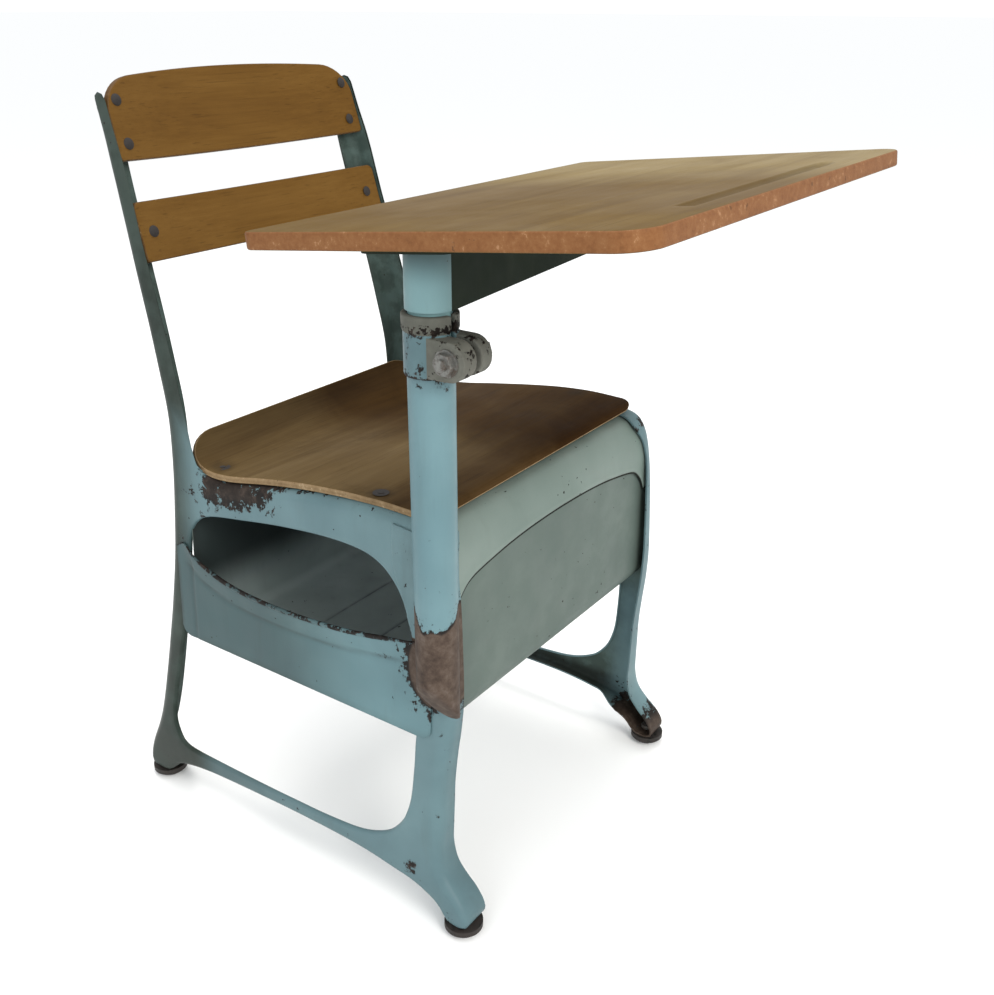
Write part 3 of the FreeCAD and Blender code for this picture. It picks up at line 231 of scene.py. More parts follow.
def smooth_by_angle(ob, angle=38.0):
    me = ob.data
    bm = bmesh.new()
    bm.from_mesh(me)
    lim = math.radians(angle)
    for f in bm.faces:
        f.smooth = True
    for e in bm.edges:
        e.smooth = not (len(e.link_faces) != 2 or e.calc_face_angle(0.0) > lim)
    bm.to_mesh(me)
    bm.free()


def place(ob, body, slot, *replaced):
    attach(ob, body)
    if replaced:
        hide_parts(*replaced)
    return ob


# ------------------------------------------------------------------ materials
TONE = (0.62, 0.62, 0.62)


class Nodes:
    def __init__(self, name):
        self.mat = bpy.data.materials.new(name)
        self.mat.use_nodes = True
        self.nt = self.mat.node_tree
        self.nt.nodes.clear()
        self.out = self.nt.nodes.new("ShaderNodeOutputMaterial")
        self.bsdf = self.nt.nodes.new("ShaderNodeBsdfPrincipled")
        self.nt.links.new(self.bsdf.outputs[0], self.out.inputs[0])
        self.co = self.nt.nodes.new("ShaderNodeTexCoord").outputs["Object"]

    def put(self, sock, v):
        if isinstance(v, bpy.types.NodeSocket):
            self.nt.links.new(v, sock)
        elif isinstance(v, (tuple, list)) and len(v) == 3 and sock.type == "RGBA":
            sock.default_value = (*v, 1.0)
        else:
            sock.default_value = v

    def math(self, op, a, b=0.0, c=None, clamp=False):
        n = self.nt.nodes.new("ShaderNodeMath")
        n.operation = op
        n.use_clamp = clamp
        self.put(n.inputs[0], a)
        self.put(n.inputs[1], b)
        if c is not None:
            self.put(n.inputs[2], c)
        return n.outputs[0]

    def scale(self, vec, s, loc=(0, 0, 0), rot=(0, 0, 0)):
        n = self.nt.nodes.new("ShaderNodeMapping")
        n.inputs["Scale"].default_value = s
        n.inputs["Location"].default_value = loc
        n.inputs["Rotation"].default_value = rot
        self.put(n.inputs[0], vec)
        return n.outputs[0]

    def noise(self, vec, scale, detail=4.0, rough=0.55, dist=0.0, color=False):
        n = self.nt.nodes.new("ShaderNodeTexNoise")
        self.put(n.inputs["Vector"], vec)
        n.inputs["Scale"].default_value = scale
        n.inputs["Detail"].default_value = detail
        n.inputs["Roughness"].default_value = rough
        n.inputs["Distortion"].default_value = dist
        return n.outputs["Color" if color else "Fac"]

    def voronoi(self, vec, scale, feature="F1"):
        n = self.nt.nodes.new("ShaderNodeTexVoronoi")
        n.feature = feature
        self.put(n.inputs["Vector"], vec)
        n.inputs["Scale"].default_value = scale
        return n.outputs["Distance"]

    def rng(self, v, a, b, c=0.0, d=1.0, smooth=True):
        n = self.nt.nodes.new("ShaderNodeMapRange")
        n.interpolation_type = "SMOOTHSTEP" if smooth else "LINEAR"
        self.put(n.inputs[0], v)
        for i, q in enumerate((a, b, c, d)):
            n.inputs[i + 1].default_value = q
        return n.outputs[0]

    def mix(self, fac, a, b, kind="MIX"):
        n = self.nt.nodes.new("ShaderNodeMix")
        n.data_type = "RGBA"
        n.blend_type = kind
        self.put(n.inputs[0], fac)
        self.put(n.inputs[6], a)
        self.put(n.inputs[7], b)
        return n.outputs[2]

    def attr(self, name):
        n = self.nt.nodes.new("ShaderNodeAttribute")
        n.attribute_name = name
        return n.outputs["Fac"]

    def sep(self, vec):
        n = self.nt.nodes.new("ShaderNodeSeparateXYZ")
        self.put(n.inputs[0], vec)
        return n.outputs

    def ramp(self, fac, stops):
        n = self.nt.nodes.new("ShaderNodeValToRGB")
        el = n.color_ramp.elements
        while len(el) > 1:
            el.remove(el[-1])
        el[0].position = stops[0][0]
        el[0].color = (*stops[0][1], 1.0)
        for p, c in stops[1:]:
            e = el.new(p)
            e.color = (*c, 1.0)
        self.put(n.inputs[0], fac)
        return n.outputs[0]

    def bump(self, height, strength, dist=0.001, normal=None):
        n = self.nt.nodes.new("ShaderNodeBump")
        n.inputs["Strength"].default_value = strength
        n.inputs["Distance"].default_value = dist
        self.put(n.inputs["Height"], height)
        if normal is not None:
            self.put(n.inputs["Normal"], normal)
        return n.outputs[0]

    def toned(self, col):
        return self.mix(1.0, col, TONE, "MULTIPLY")

    def done(self, color=None, rough=None, metal=None, normal=None, spec=None, coat=None, coat_rough=None):
        b = self.bsdf
        for nm, v in (("Base Color", color), ("Roughness", rough), ("Metallic", metal), ("Normal", normal),
                      ("Specular IOR Level", spec), ("Coat Weight", coat), ("Coat Roughness", coat_rough)):
            if v is not None:
                self.put(b.inputs[nm], v)
        return self.mat


def paint(name, base, light, dark, general=0.0, rough=0.40, grime_and_shade=0.5, top_shadow=None, spec=0.32, inner=False, rear=False, shade=()):
    """Old enamel over steel: brush-soft colour drift, grime and painted shade, fine pitting and flaked
    spots down to brown primer and dark metal, where the chip value says so. The (z0, z1, share)
    band is a painted shadow that darkens with height. inner paints shade on the channel insides."""
    k = Nodes(name)
    chip = k.math("ADD", k.attr("chip"), general)
    dirt_and_shade = k.attr("dirt_and_shade")
    soft = k.noise(k.co, 7.0, 3.0, 0.5, 0.4)
    mid = k.noise(k.co, 34.0, 5.0, 0.6)
    col = k.mix(k.rng(soft, 0.32, 0.68), dark, light)
    col = k.mix(k.rng(mid, 0.35, 0.75, 0.0, 0.5), col, base)
    # faint purple-grey clouding of the film
    cloud = k.noise(k.co, 13.0, 6.0, 0.65, 0.6)
    col = k.mix(k.rng(cloud, 0.55, 0.80, 0.0, 0.30), col, tuple(q * w for q, w in zip(base, (1.12, 0.90, 0.95))))
    # rubbed film: faint vertical streaks
    streak = k.noise(k.scale(k.co, (60.0, 60.0, 7.0)), 1.0, 4.0, 0.6)
    col = k.mix(k.rng(streak, 0.52, 0.78, 0.0, 0.22 * grime_and_shade), col, (0.075, 0.075, 0.06))
    if inner:
        # painted shade: the channel insides are painted dark as shade, with a painted lit patch low down on the front
        # legs
        p = k.sep(k.co)
        lo = k.math("MULTIPLY", k.rng(p[1], -0.054, -0.097), k.math("MULTIPLY", k.rng(p[2], 0.235, 0.175), k.rng(p[2], 0.020, 0.060)))
        lo = k.math("ADD", lo, k.math("MULTIPLY", k.math("SUBTRACT", mid, 0.5), 0.5), clamp=True)
        painted_shade_col = k.mix(k.rng(mid, 0.40, 0.62), (0.060, 0.092, 0.080), (0.100, 0.150, 0.132))
        painted_shade_col = k.mix(k.rng(p[2], 0.075, 0.058), painted_shade_col, (0.024, 0.032, 0.028))
        col = k.mix(lo, painted_shade_col, col)
    if rear:
        # painted shade: the rear of the frame and the uprights are painted a darker olive, and the base rail is darker
        # low down towards the rear
        p = k.sep(k.co)
        t = k.rng(p[1], 0.196, 0.246)
        t = k.math("MAXIMUM", t, k.rng(p[2], 0.415, 0.490))
        col = k.mix(t, col, k.mix(1.0, col, k.mix(k.rng(k.math("ADD", mid, soft), 0.85, 1.15), (0.11, 0.12, 0.08), (0.26, 0.24, 0.18)), "MULTIPLY"))
        b = k.math("MULTIPLY", k.rng(p[1], -0.05, 0.24), k.rng(p[2], 0.080, 0.060, 0.0, 0.45))
        col = k.mix(b, col, (0.035, 0.042, 0.034))
    for (axis, a, b, mul) in shade:
        q = k.rng(k.sep(k.co)[axis], a, b)
        col = k.mix(q, col, k.mix(1.0, col, mul, "MULTIPLY"))
    # painted shadow: darker towards the top of the given height band
    if top_shadow:
        z = k.sep(k.co)[2]
        col = k.mix(k.rng(z, top_shadow[0], top_shadow[1], 0.0, top_shadow[2]), col, (0.022, 0.030, 0.028))
    # grime, and painted shade where the per-vertex darkening value marks creases and places where parts meet
    g = k.math("MULTIPLY", dirt_and_shade, k.rng(k.noise(k.co, 26.0, 6.0, 0.65), 0.3, 0.62, 0.35, 1.0))
    col = k.mix(k.math("MULTIPLY", g, grime_and_shade * 1.35, clamp=True), col, (0.035, 0.034, 0.028))
    # flakes: an eroded noise lifted by the chip value
    big = k.noise(k.co, 78.0, 9.0, 0.72, 0.35)
    fine = k.noise(k.co, 300.0, 5.0, 0.6)
    h = k.math("ADD", big, k.math("MULTIPLY", k.math("SUBTRACT", fine, 0.5), 0.34))
    h = k.math("ADD", h, k.math("MULTIPLY", chip, 0.42))
    flake = k.rng(h, 0.735, 0.750)
    halo = k.rng(h, 0.700, 0.742)
    speck = k.rng(k.math("ADD", k.noise(k.co, 170.0, 2.0, 0.5), k.math("MULTIPLY", k.noise(k.co, 17.0, 2.0, 0.5), 0.30)), 0.900, 0.915)
    flake = k.math("MAXIMUM", flake, speck)
    rust = k.noise(k.co, 90.0, 6.0, 0.7)
    bare = k.ramp(rust, [(0.22, (0.030, 0.020, 0.015)), (0.40, (0.072, 0.047, 0.034)), (0.55, (0.110, 0.076, 0.056)),
                         (0.68, (0.155, 0.118, 0.094)), (0.85, (0.060, 0.040, 0.032))])
    old = k.ramp(rust, [(0.30, (0.006, 0.005, 0.004)), (0.52, (0.016, 0.012, 0.010)), (0.66, (0.050, 0.034, 0.026)), (0.78, (0.190, 0.175, 0.155))])
    bare = k.mix(k.rng(chip, 0.72, 1.05), old, bare)
    rimc = k.mix(0.5, base, (0.03, 0.03, 0.026))
    col = k.mix(k.math("MULTIPLY", halo, 0.6), col, rimc)
    col = k.mix(flake, col, bare)
    ro = k.mix(k.rng(mid, 0.3, 0.7), (rough - 0.06,) * 3, (rough + 0.10,) * 3)
    ro = k.mix(flake, ro, (0.66, 0.66, 0.66))
    n1 = k.bump(k.noise(k.co, 420.0, 2.0, 0.5), 0.08, 0.0004)
    n2 = k.bump(k.noise(k.co, 20.0, 2.0, 0.5), 0.10, 0.003, n1)
    n3 = k.bump(k.math("MULTIPLY", flake, -1.0), 0.55, 0.0005, n2)
    return k.done(k.toned(col), ro, 0.0, n3, spec=spec * 0.6)


def ply_face(name, dark, mid, light, axis="x", worn=0.4, rough=0.42, rings=1.0, seed=0.0, stain=0.5, spec=0.15, shade=()):
    """Varnished veneer: long fibres, slow colour drift, pores and rubbed patches.
    Grain runs along the given axis."""
    k = Nodes(name)
    s = {"x": (1.0, 9.0, 9.0), "y": (9.0, 1.0, 9.0)}[axis]
    f = {"x": (5.0, 300.0, 300.0), "y": (300.0, 5.0, 300.0)}[axis]
    vec = k.scale(k.co, s, (seed, seed * 0.7, 0.0))
    warp = k.noise(k.scale(k.co, (2.2, 2.2, 2.2), (seed, 0, 0)), 1.0, 3.0, 0.5)
    fig = k.noise(k.scale(k.co, tuple(q * 1.6 for q in s), (seed, 0.3, 0.1)), 1.5 * rings, 5.0, 0.6, 1.4)
    fib = k.noise(k.scale(k.co, f, (seed, 0, 0)), 1.0, 5.0, 0.65)
    fine = k.noise(k.scale(k.co, tuple(q * 3.0 for q in f), (seed, 0, 0)), 1.0, 3.0, 0.6)
    v = k.math("ADD", k.math("MULTIPLY", fig, 0.62), k.math("MULTIPLY", fib, 0.26))
    v = k.math("ADD", v, k.math("MULTIPLY", warp, 0.18))
    v = k.math("ADD", v, k.math("MULTIPLY", k.math("SUBTRACT", fine, 0.5), 0.10))
    col = k.ramp(k.rng(v, 0.34, 0.74, smooth=False), [(0.0, dark), (0.45, mid), (1.0, light)])
    # pores: short dark dashes
    pore = k.noise(k.scale(k.co, tuple(q * 2.2 for q in f), (seed + 3, 0, 0)), 1.0, 2.0, 0.4)
    col = k.mix(k.rng(pore, 0.62, 0.74, 0.0, 0.35), col, tuple(c * 0.45 for c in dark))
    # old stains and a greyed, rubbed film
    st = k.noise(k.co, 9.0, 5.0, 0.62, 0.5)
    col = k.mix(k.rng(st, 0.55, 0.78, 0.0, 0.55 * stain), col, tuple(c * 0.5 for c in dark))
    rub = k.noise(k.scale(k.co, (5.0, 3.5, 5.0), (seed, 1, 0)), 1.0, 4.0, 0.6)
    col = k.mix(k.rng(rub, 0.5, 0.74, 0.0, worn * 0.5), col, tuple(min(1.0, c * 1.18 + 0.02) for c in light))
    # scratches
    sc = k.voronoi(k.scale(k.co, (90.0, 7.0, 30.0), (0, 0, 0), (0, 0, 0.7)), 1.0)
    sc2 = k.voronoi(k.scale(k.co, (6.0, 70.0, 30.0), (0, 0, 0), (0, 0, 0.35)), 1.0)
    scr = k.math("MAXIMUM", k.rng(sc, 0.045, 0.02), k.rng(sc2, 0.04, 0.018))
    col = k.mix(k.math("MULTIPLY", scr, 0.25 * worn), col, tuple(c * 0.4 for c in dark))
    for (ax, a, b2, mul) in shade:
        q = k.math("ADD", k.rng(k.sep(k.co)[ax], a, b2), k.math("MULTIPLY", k.math("SUBTRACT", st, 0.5), 0.9), clamp=True)
        col = k.mix(q, col, k.mix(1.0, col, mul, "MULTIPLY"))
    dirt_and_shade = k.attr("dirt_and_shade")
    col = k.mix(k.math("MULTIPLY", dirt_and_shade, 0.8, clamp=True), col, (0.030, 0.021, 0.013))
    ro = k.rng(k.math("ADD", rub, k.math("MULTIPLY", fib, 0.3)), 0.45, 0.95, rough - 0.08, rough + 0.18)
    n1 = k.bump(fib, 0.16, 0.0005)
    n2 = k.bump(pore, 0.10, 0.0003, n1)
    n3 = k.bump(k.math("MULTIPLY", scr, -1.0), 0.12, 0.0003, n2)
    return k.done(k.toned(col), ro, 0.0, n3, spec=spec * 0.6)


def ply_edge(name, dark, mid, light, plies=7, thick=1.0):
    """Plywood edge: plies by depth, end grain and varnish worn off in spots."""
    k = Nodes(name)
    tk = k.attr("tk")
    wob = k.noise(k.co, 30.0, 3.0, 0.5)
    t = k.math("ADD", tk, k.math("MULTIPLY", k.math("SUBTRACT", wob, 0.5), 0.05))
    band = k.math("SINE", k.math("MULTIPLY", t, math.pi * plies))
    sp = k.noise(k.co, 240.0, 6.0, 0.7)
    sp2 = k.noise(k.co, 75.0, 5.0, 0.65)
    v = k.math("ADD", k.math("MULTIPLY", band, 0.05), k.math("ADD", k.math("MULTIPLY", sp, 0.55), k.math("MULTIPLY", sp2, 0.45)))
    col = k.ramp(k.rng(v, 0.22, 0.80, smooth=False), [(0.0, dark), (0.5, mid), (1.0, light)])
    pale = k.rng(k.math("ADD", sp, k.math("MULTIPLY", sp2, 0.6)), 0.92, 1.02)
    col = k.mix(k.math("MULTIPLY", pale, 0.75), col, tuple(min(1, c * 1.25 + 0.05) for c in light))
    dk = k.rng(k.noise(k.co, 120.0, 4.0, 0.6), 0.63, 0.70)
    col = k.mix(k.math("MULTIPLY", dk, 0.7), col, tuple(c * 0.4 for c in dark))
    dirt_and_shade = k.attr("dirt_and_shade")
    col = k.mix(k.math("MULTIPLY", dirt_and_shade, 0.8, clamp=True), col, (0.03, 0.02, 0.012))
    n1 = k.bump(k.math("ADD", k.math("MULTIPLY", band, 0.1), sp), 0.30, 0.0006)
    return k.done(k.toned(col), 0.6, 0.0, n1, spec=0.12)


def metal(name, base, rust_col, rough=0.45, amount=0.5):
    k = Nodes(name)
    n = k.noise(k.co, 130.0, 7.0, 0.7)
    m2 = k.noise(k.co, 40.0, 4.0, 0.6)
    f = k.rng(k.math("ADD", n, k.math("MULTIPLY", m2, 0.4)), 0.72 - 0.25 * amount, 0.9 - 0.2 * amount)
    col = k.mix(f, base, rust_col)
    col = k.mix(k.rng(k.noise(k.co, 500.0, 2.0, 0.5), 0.4, 0.7, 0.0, 0.3), col, tuple(c * 0.5 for c in base))
    ro = k.mix(f, (rough,) * 3, (0.75,) * 3)
    me = k.math("SUBTRACT", 1.0, f)
    me = k.math("MULTIPLY", me, 0.85)
    b = k.bump(n, 0.3, 0.0005)
    return k.done(k.toned(col), ro, me, b)


TURQ = dict(base=(0.168, 0.284, 0.310), light=(0.200, 0.330, 0.354), dark=(0.138, 0.238, 0.264))
MAT_FRAME = paint("frame_enamel", general=-0.02, rear=True, **TURQ)
MAT_FRAME_IN_SHADE = paint("frame_inner_enamel_painted_shade", general=-0.05, grime_and_shade=0.8, rough=0.55, spec=0.2, inner=True, **TURQ)
MAT_POST = paint("post_enamel", base=(0.156, 0.280, 0.314), light=(0.184, 0.320, 0.352), dark=(0.130, 0.240, 0.272), general=0.07)
MAT_TUBE = paint("tube_enamel", base=(0.256, 0.450, 0.458), light=(0.295, 0.505, 0.505), dark=(0.215, 0.386, 0.398), general=-0.06)
# painted shadow of the writing top on the upper end of the arm sleeve
MAT_SLEEVE = paint("sleeve_enamel", base=(0.225, 0.385, 0.400), light=(0.265, 0.440, 0.450), dark=(0.190, 0.330, 0.350), general=-0.06, top_shadow=(0.658, 0.690, 0.70))
MAT_SIDE = paint("box_side_enamel", base=(0.165, 0.302, 0.330), light=(0.192, 0.345, 0.372), dark=(0.138, 0.254, 0.282), general=-0.06, shade=((1, -0.05, 0.11, (0.47, 0.45, 0.43)),))
# painted light and shade: the front panel and apron take grey-green copies of the turquoise paint that stand for the
# light on front faces, the front panel darker
MAT_FRONT_SHADE = paint("box_front_enamel_painted_shade", base=(0.130, 0.174, 0.152), light=(0.149, 0.195, 0.170), dark=(0.112, 0.152, 0.133), general=-0.14, rough=0.48, grime_and_shade=0.35)
MAT_APRON_LIT = paint("apron_enamel_painted_light", base=(0.228, 0.295, 0.262), light=(0.256, 0.325, 0.290), dark=(0.198, 0.262, 0.232), general=-0.14, rough=0.42, grime_and_shade=0.35)
# painted light: the box inside is painted far lighter than the paint, for light reaching into the box; its band paints
# it dark above z 0.24-0.30 m as shade under the seat
MAT_INSIDE_LIT = paint("box_inside_enamel_painted_light", base=(0.500, 0.600, 0.590), light=(0.580, 0.690, 0.680), dark=(0.400, 0.490, 0.480), general=-0.08, rough=0.5, grime_and_shade=0.6, spec=0.25, shade=((2, 0.240, 0.300, (0.10, 0.11, 0.11)),))
MAT_CLAMP = paint("clamp_enamel", base=(0.235, 0.238, 0.200), light=(0.320, 0.318, 0.275), dark=(0.150, 0.158, 0.132), general=0.03, rough=0.6, grime_and_shade=0.7, spec=0.12)
# painted shadow: the arm and its mounting plate under the writing top are painted near-black as shadow
MAT_ARM_SHADOW = paint("arm_enamel_painted_shadow", base=(0.026, 0.036, 0.024), light=(0.034, 0.046, 0.030), dark=(0.018, 0.026, 0.018), general=-0.10, grime_and_shade=0.6, spec=0.10, rough=0.65)
# painted shadow: a near-black material for the gap line under the apron's arched edge
MAT_ARCH_SHADOW = paint("arch_gap_painted_shadow", base=(0.022, 0.026, 0.022), light=(0.030, 0.034, 0.029), dark=(0.014, 0.017, 0.014), general=-0.3, grime_and_shade=0.5, rough=0.7, spec=0.1)
MAT_SEAT = ply_face("seat_veneer", (0.092, 0.054, 0.019), (0.150, 0.096, 0.038), (0.215, 0.148, 0.068), axis="x", worn=0.40, rough=0.66, rings=0.7, seed=1.7, stain=0.8, spec=0.06, shade=((0, -0.07, 0.05, (0.40, 0.31, 0.19)), (1, 0.0, -0.08, (0.58, 0.50, 0.42))))
MAT_SEAT_E = ply_edge("seat_edge", (0.150, 0.085, 0.036), (0.320, 0.215, 0.110), (0.470, 0.345, 0.200), plies=3)
MAT_SLAT = ply_face("slat_veneer", (0.112, 0.050, 0.009), (0.166, 0.080, 0.015), (0.225, 0.116, 0.026), axis="x", worn=0.12, rough=0.50, rings=0.45, seed=5.1, stain=0.40, spec=0.10)
MAT_SLAT_E = ply_edge("slat_edge", (0.060, 0.030, 0.010), (0.140, 0.070, 0.022), (0.230, 0.130, 0.045), plies=4)
MAT_DESK = ply_face("desk_veneer", (0.225, 0.155, 0.062), (0.305, 0.225, 0.100), (0.375, 0.290, 0.150), axis="x", worn=0.45, rough=0.58, rings=0.8, seed=9.3, stain=0.35, spec=0.06, shade=((0, 0.17, -0.04, (0.54, 0.44, 0.29)),))
MAT_DESK_E = ply_edge("desk_edge", (0.145, 0.056, 0.019), (0.270, 0.112, 0.040), (0.370, 0.182, 0.074), plies=1)
MAT_BOLT = metal("bolt_steel", (0.030, 0.019, 0.012), (0.012, 0.007, 0.005), 0.75, 1.6)
MAT_NUT = metal("nut_steel", (0.30, 0.30, 0.28), (0.075, 0.055, 0.040), 0.46, 0.5)
MAT_GLIDE = metal("glide_steel", (0.055, 0.052, 0.048), (0.03, 0.02, 0.015), 0.45, 0.6)


# ------------------------------------------------------------------ side frames
def edge_radius(y, z):
    if z < 100.0:
        if y > 60.0 and y < 405.0:
            return 6.0 if z < 60 else 11.0
        return lerp(6.0, 13.0, sstep(20.0, 100.0, z))
    if y < 40.0 and z < 400:
        return 14.0
    if 40.0 <= y < 330.0:
        return 11.0
    if z > 700.0:
        return lerp(12.0, 7.0, sstep(700.0, 780.0, z))
    return 13.0


def frame_chip(y, z, side, near):
    """How flaked the paint is at a place on a side frame."""
    c = 0.0
    if near:
        # seat rail, worst towards the back of the seat
        top = 410.8 + (315 - y) * 0.145 if y > 160 else 436.0
        if 60.0 < y < 352.0 and z > 340.0:
            d = top - z
            c = max(c, 0.84 * sstep(185.0, 262.0, y) * sstep(46.0, 14.0, d) * sstep(338.0, 322.0, y))
            c = max(c, 0.74 * sstep(130.0, 235.0, y) * sstep(11.0, 1.0, d) * sstep(336.0, 318.0, y))
            c = max(c, 0.60 * sstep(70.0, 130.0, y) * sstep(9.0, 0.0, d) * sstep(340.0, 320.0, y))
        c = max(c, 0.34 * sstep(44.0, 16.0, math.hypot(y - 334.0, (z - 386.0))))
        c = max(c, 0.50 * sstep(30.0, 8.0, math.hypot(y - 30.0, (z - 408.0) * 0.8)))
        c = max(c, 0.46 * sstep(26.0, 8.0, math.hypot(y - 366.0, z - 322.0)))
        # front end beside the post foot
        c = max(c, 1.25 * sstep(1.18, 0.80, math.hypot((y - 16.0) / 43.0, (z - 312.0) / 54.0)))
        c = max(c, 0.55 * sstep(1.5, 1.05, math.hypot((y - 16.0) / 43.0, (z - 312.0) / 54.0)))
    else:
        c = max(c, 0.45 * sstep(30.0, 6.0, math.hypot(y - 30.0, z - 420.0)))
    # feet
    c = max(c, 0.26 * sstep(40.0, 14.0, z))
    c = max(c, 0.12 * sstep(95.0, 40.0, z))
    c = max(c, 0.60 * sstep(18.0, 4.0, math.hypot(y - 52.0, z - 62.0)))
    if not near:
        c = max(c, 0.95 * sstep(70.0, 30.0, z) * sstep(60.0, 40.0, y))
    return c


LEG_FLANGE = [(176.0, 45.0), (178.5, 100.0), (178.0, 200.0), (176.0, 250.0), (176.0, 385.0), (172.0, 405.0), (163.0, 422.0)]


def flange_in(y, z):
    """x of the flange's free edge."""
    if y < 60.0 and 45.0 < z < 422.0:
        for (xa, za), (xb, zb) in zip(LEG_FLANGE, LEG_FLANGE[1:]):
            if za <= z <= zb:
                return lerp(xa, xb, (z - za) / (zb - za))
    if z < 62.0 and 40.0 < y < 420.0:
        return FLANGE_IN_X + 17.0 * sstep(40.0, 75.0, y) * sstep(420.0, 385.0, y)
    return FLANGE_IN_X - FLANGE_LEAN * z


def side_frame(near):
    b = Build()
    pts = catmull(OUTLINE, 5.0)
    nrm = inward_normals(pts)
    N = len(pts)
    rad = [edge_radius(p[0], p[1]) for p in pts]
    for _ in range(6):
        rad = [(rad[i - 1] + rad[i] * 2 + rad[(i + 1) % N]) / 4 for i in range(N)]
    rows = []
    outs = []
    first = []
    for th in range(0, 91, 15):
        s, c = math.sin(math.radians(th)), math.cos(math.radians(th))
        row = []
        for (y, z, g), (ny, nz), r0 in zip(pts, nrm, rad):
            r = r0 * g
            yy, zz = y + ny * r * (1 - s), z + nz * r * (1 - s)
            w = r * (1 - c)
            e = 0.10 + 0.22 * math.sin(math.radians(th * 2 if th < 90 else 180)) if g > 0.5 else 0.35
            row.append(b.vert(web_x(zz, w), yy, zz, chip=max(e * 0.6, frame_chip(yy, zz, 0, near)), dirt_and_shade=0.1))
            if th == 0:
                first.append((yy, zz))
        rows.append(row)
        outs.append((c, s))
    for f in (0.25, 0.5, 0.75, 0.93, 1.0):
        row = []
        for (y, z, g), (ny, nz), r0 in zip(pts, nrm, rad):
            r = r0 * g
            full = web_x(z) - flange_in(y, z)
            w = lerp(r, max(r + 0.5, full * g), f) if g > 0.02 else 0.6 * f
            e = 0.28 if f > 0.9 else 0.05
            row.append(b.vert(web_x(z, w), y, z, chip=max(e, frame_chip(y, z, 0, near)), dirt_and_shade=0.12 + 0.25 * f))
        rows.append(row)
        outs.append((0.0, 1.0))
    for k in range(len(rows) - 1):
        for i in range(N):
            j = (i + 1) % N
            c, s = outs[k]
            b.face((rows[k][i], rows[k][j], rows[k + 1][j], rows[k + 1][i]),
                   (c + 0.05, -nrm[i][0] * (s + 0.05), -nrm[i][1] * (s + 0.05)))
    # opening edge: a small turned lip
    op = catmull([(p[0], p[1], 1.0) for p in OPENING], 5.0)
    onr = inward_normals(op)
    K = len(op)
    LR = 3.6
    orow, oout, hole = [], [], []
    for th in range(0, 91, 22):
        s, c = math.sin(math.radians(th if th < 88 else 90)), math.cos(math.radians(th if th < 88 else 90))
        row = []
        for (y, z, g), (ny, nz) in zip(op, onr):
            yy, zz = y - ny * LR * (1 - s), z - nz * LR * (1 - s)
            row.append(b.vert(web_x(zz, LR * (1 - c)), yy, zz, chip=max(0.12, frame_chip(yy, zz, 0, near)), dirt_and_shade=0.1))
            if th == 0:
                hole.append((yy, zz))
        orow.append(row)
        oout.append((c, s))
    row = [b.vert(web_x(z, 4.2), y, z, chip=max(0.2, frame_chip(y, z, 0, near)), dirt_and_shade=0.25) for (y, z, g) in op]
    orow.append(row)
    oout.append((0.0, 1.0))
    for k in range(len(orow) - 1):
        for i in range(K):
            j = (i + 1) % K
            c, s = oout[k]
            b.face((orow[k][i], orow[k][j], orow[k + 1][j], orow[k + 1][i]),
                   (c + 0.05, onr[i][0] * (s + 0.05), onr[i][1] * (s + 0.05)))
    # flat web between the two, with inner points so that the worn areas are carried
    def inside(poly, y, z):
        r = False
        n = len(poly)
        j = n - 1
        for i in range(n):
            if (poly[i][1] > z) != (poly[j][1] > z) and y < (poly[j][0] - poly[i][0]) * (z - poly[i][1]) / (poly[j][1] - poly[i][1]) + poly[i][0]:
                r = not r
            j = i
        return r

    fa, ha = np.array(first), np.array(hole)
    vs = [Vector(p) for p in first] + [Vector(p) for p in hole]
    ed = [(i, (i + 1) % N) for i in range(N)] + [(N + i, N + (i + 1) % K) for i in range(K)]
    yy = -12.0
    while yy < 470.0:
        zz = 12.0
        while zz < 785.0:
            if inside(first, yy, zz) and not inside(hole, yy, zz):
                d = min(np.hypot(fa[:, 0] - yy, fa[:, 1] - zz).min(), np.hypot(ha[:, 0] - yy, ha[:, 1] - zz).min())
                if d > 4.0:
                    vs.append(Vector((yy + 1.3 * math.sin(zz), zz + 1.1 * math.cos(yy))))
            zz += 9.0
        yy += 9.0
    rv, re, rf, ov, oe, of_ = geometry.delaunay_2d_cdt(vs, ed, [], 0, 1e-4)
    base = len(b.v)
    for p in rv:
        b.vert(web_x(p.y), p.x, p.y, chip=frame_chip(p.x, p.y, 0, near), dirt_and_shade=0.08)
    for f in rf:
        cy = sum(rv[i].x for i in f) / 3.0
        cz = sum(rv[i].y for i in f) / 3.0
        if inside(first, cy, cz) and not inside(hole, cy, cz):
            b.face([base + i for i in f], (1, 0, 0))
    return b


fb = side_frame(False)
obL = fb.make("frame_left", [MAT_FRAME, MAT_FRAME_IN_SHADE], merge=0.05, thick=SHEET, inner=1)
place(obL, "chair", "frame_paint", "left_side_frame")
obR = side_frame(True).mirror().make("frame_right", [MAT_FRAME, MAT_FRAME_IN_SHADE], merge=0.05, thick=SHEET, inner=1)
place(obR, "chair", "frame_paint", "right_side_frame")

# ------------------------------------------------------------------ book box sides
P_TOP = [(373.4, 324.0), (366.0, 328.6), (358.0, 327.4), (349.0, 320.6), (337.0, 313.8), (320.0, 307.4),
         (295.0, 301.4), (268.0, 298.2), (235.0, 296.8), (198.0, 297.4), (165.0, 299.6), (132.0, 303.0),
         (100.0, 308.2), (69.0, 314.4), (50.0, 318.0), (40.0, 316.6), (34.0, 311.0), (31.4, 301.0), (30.6, 290.0)]


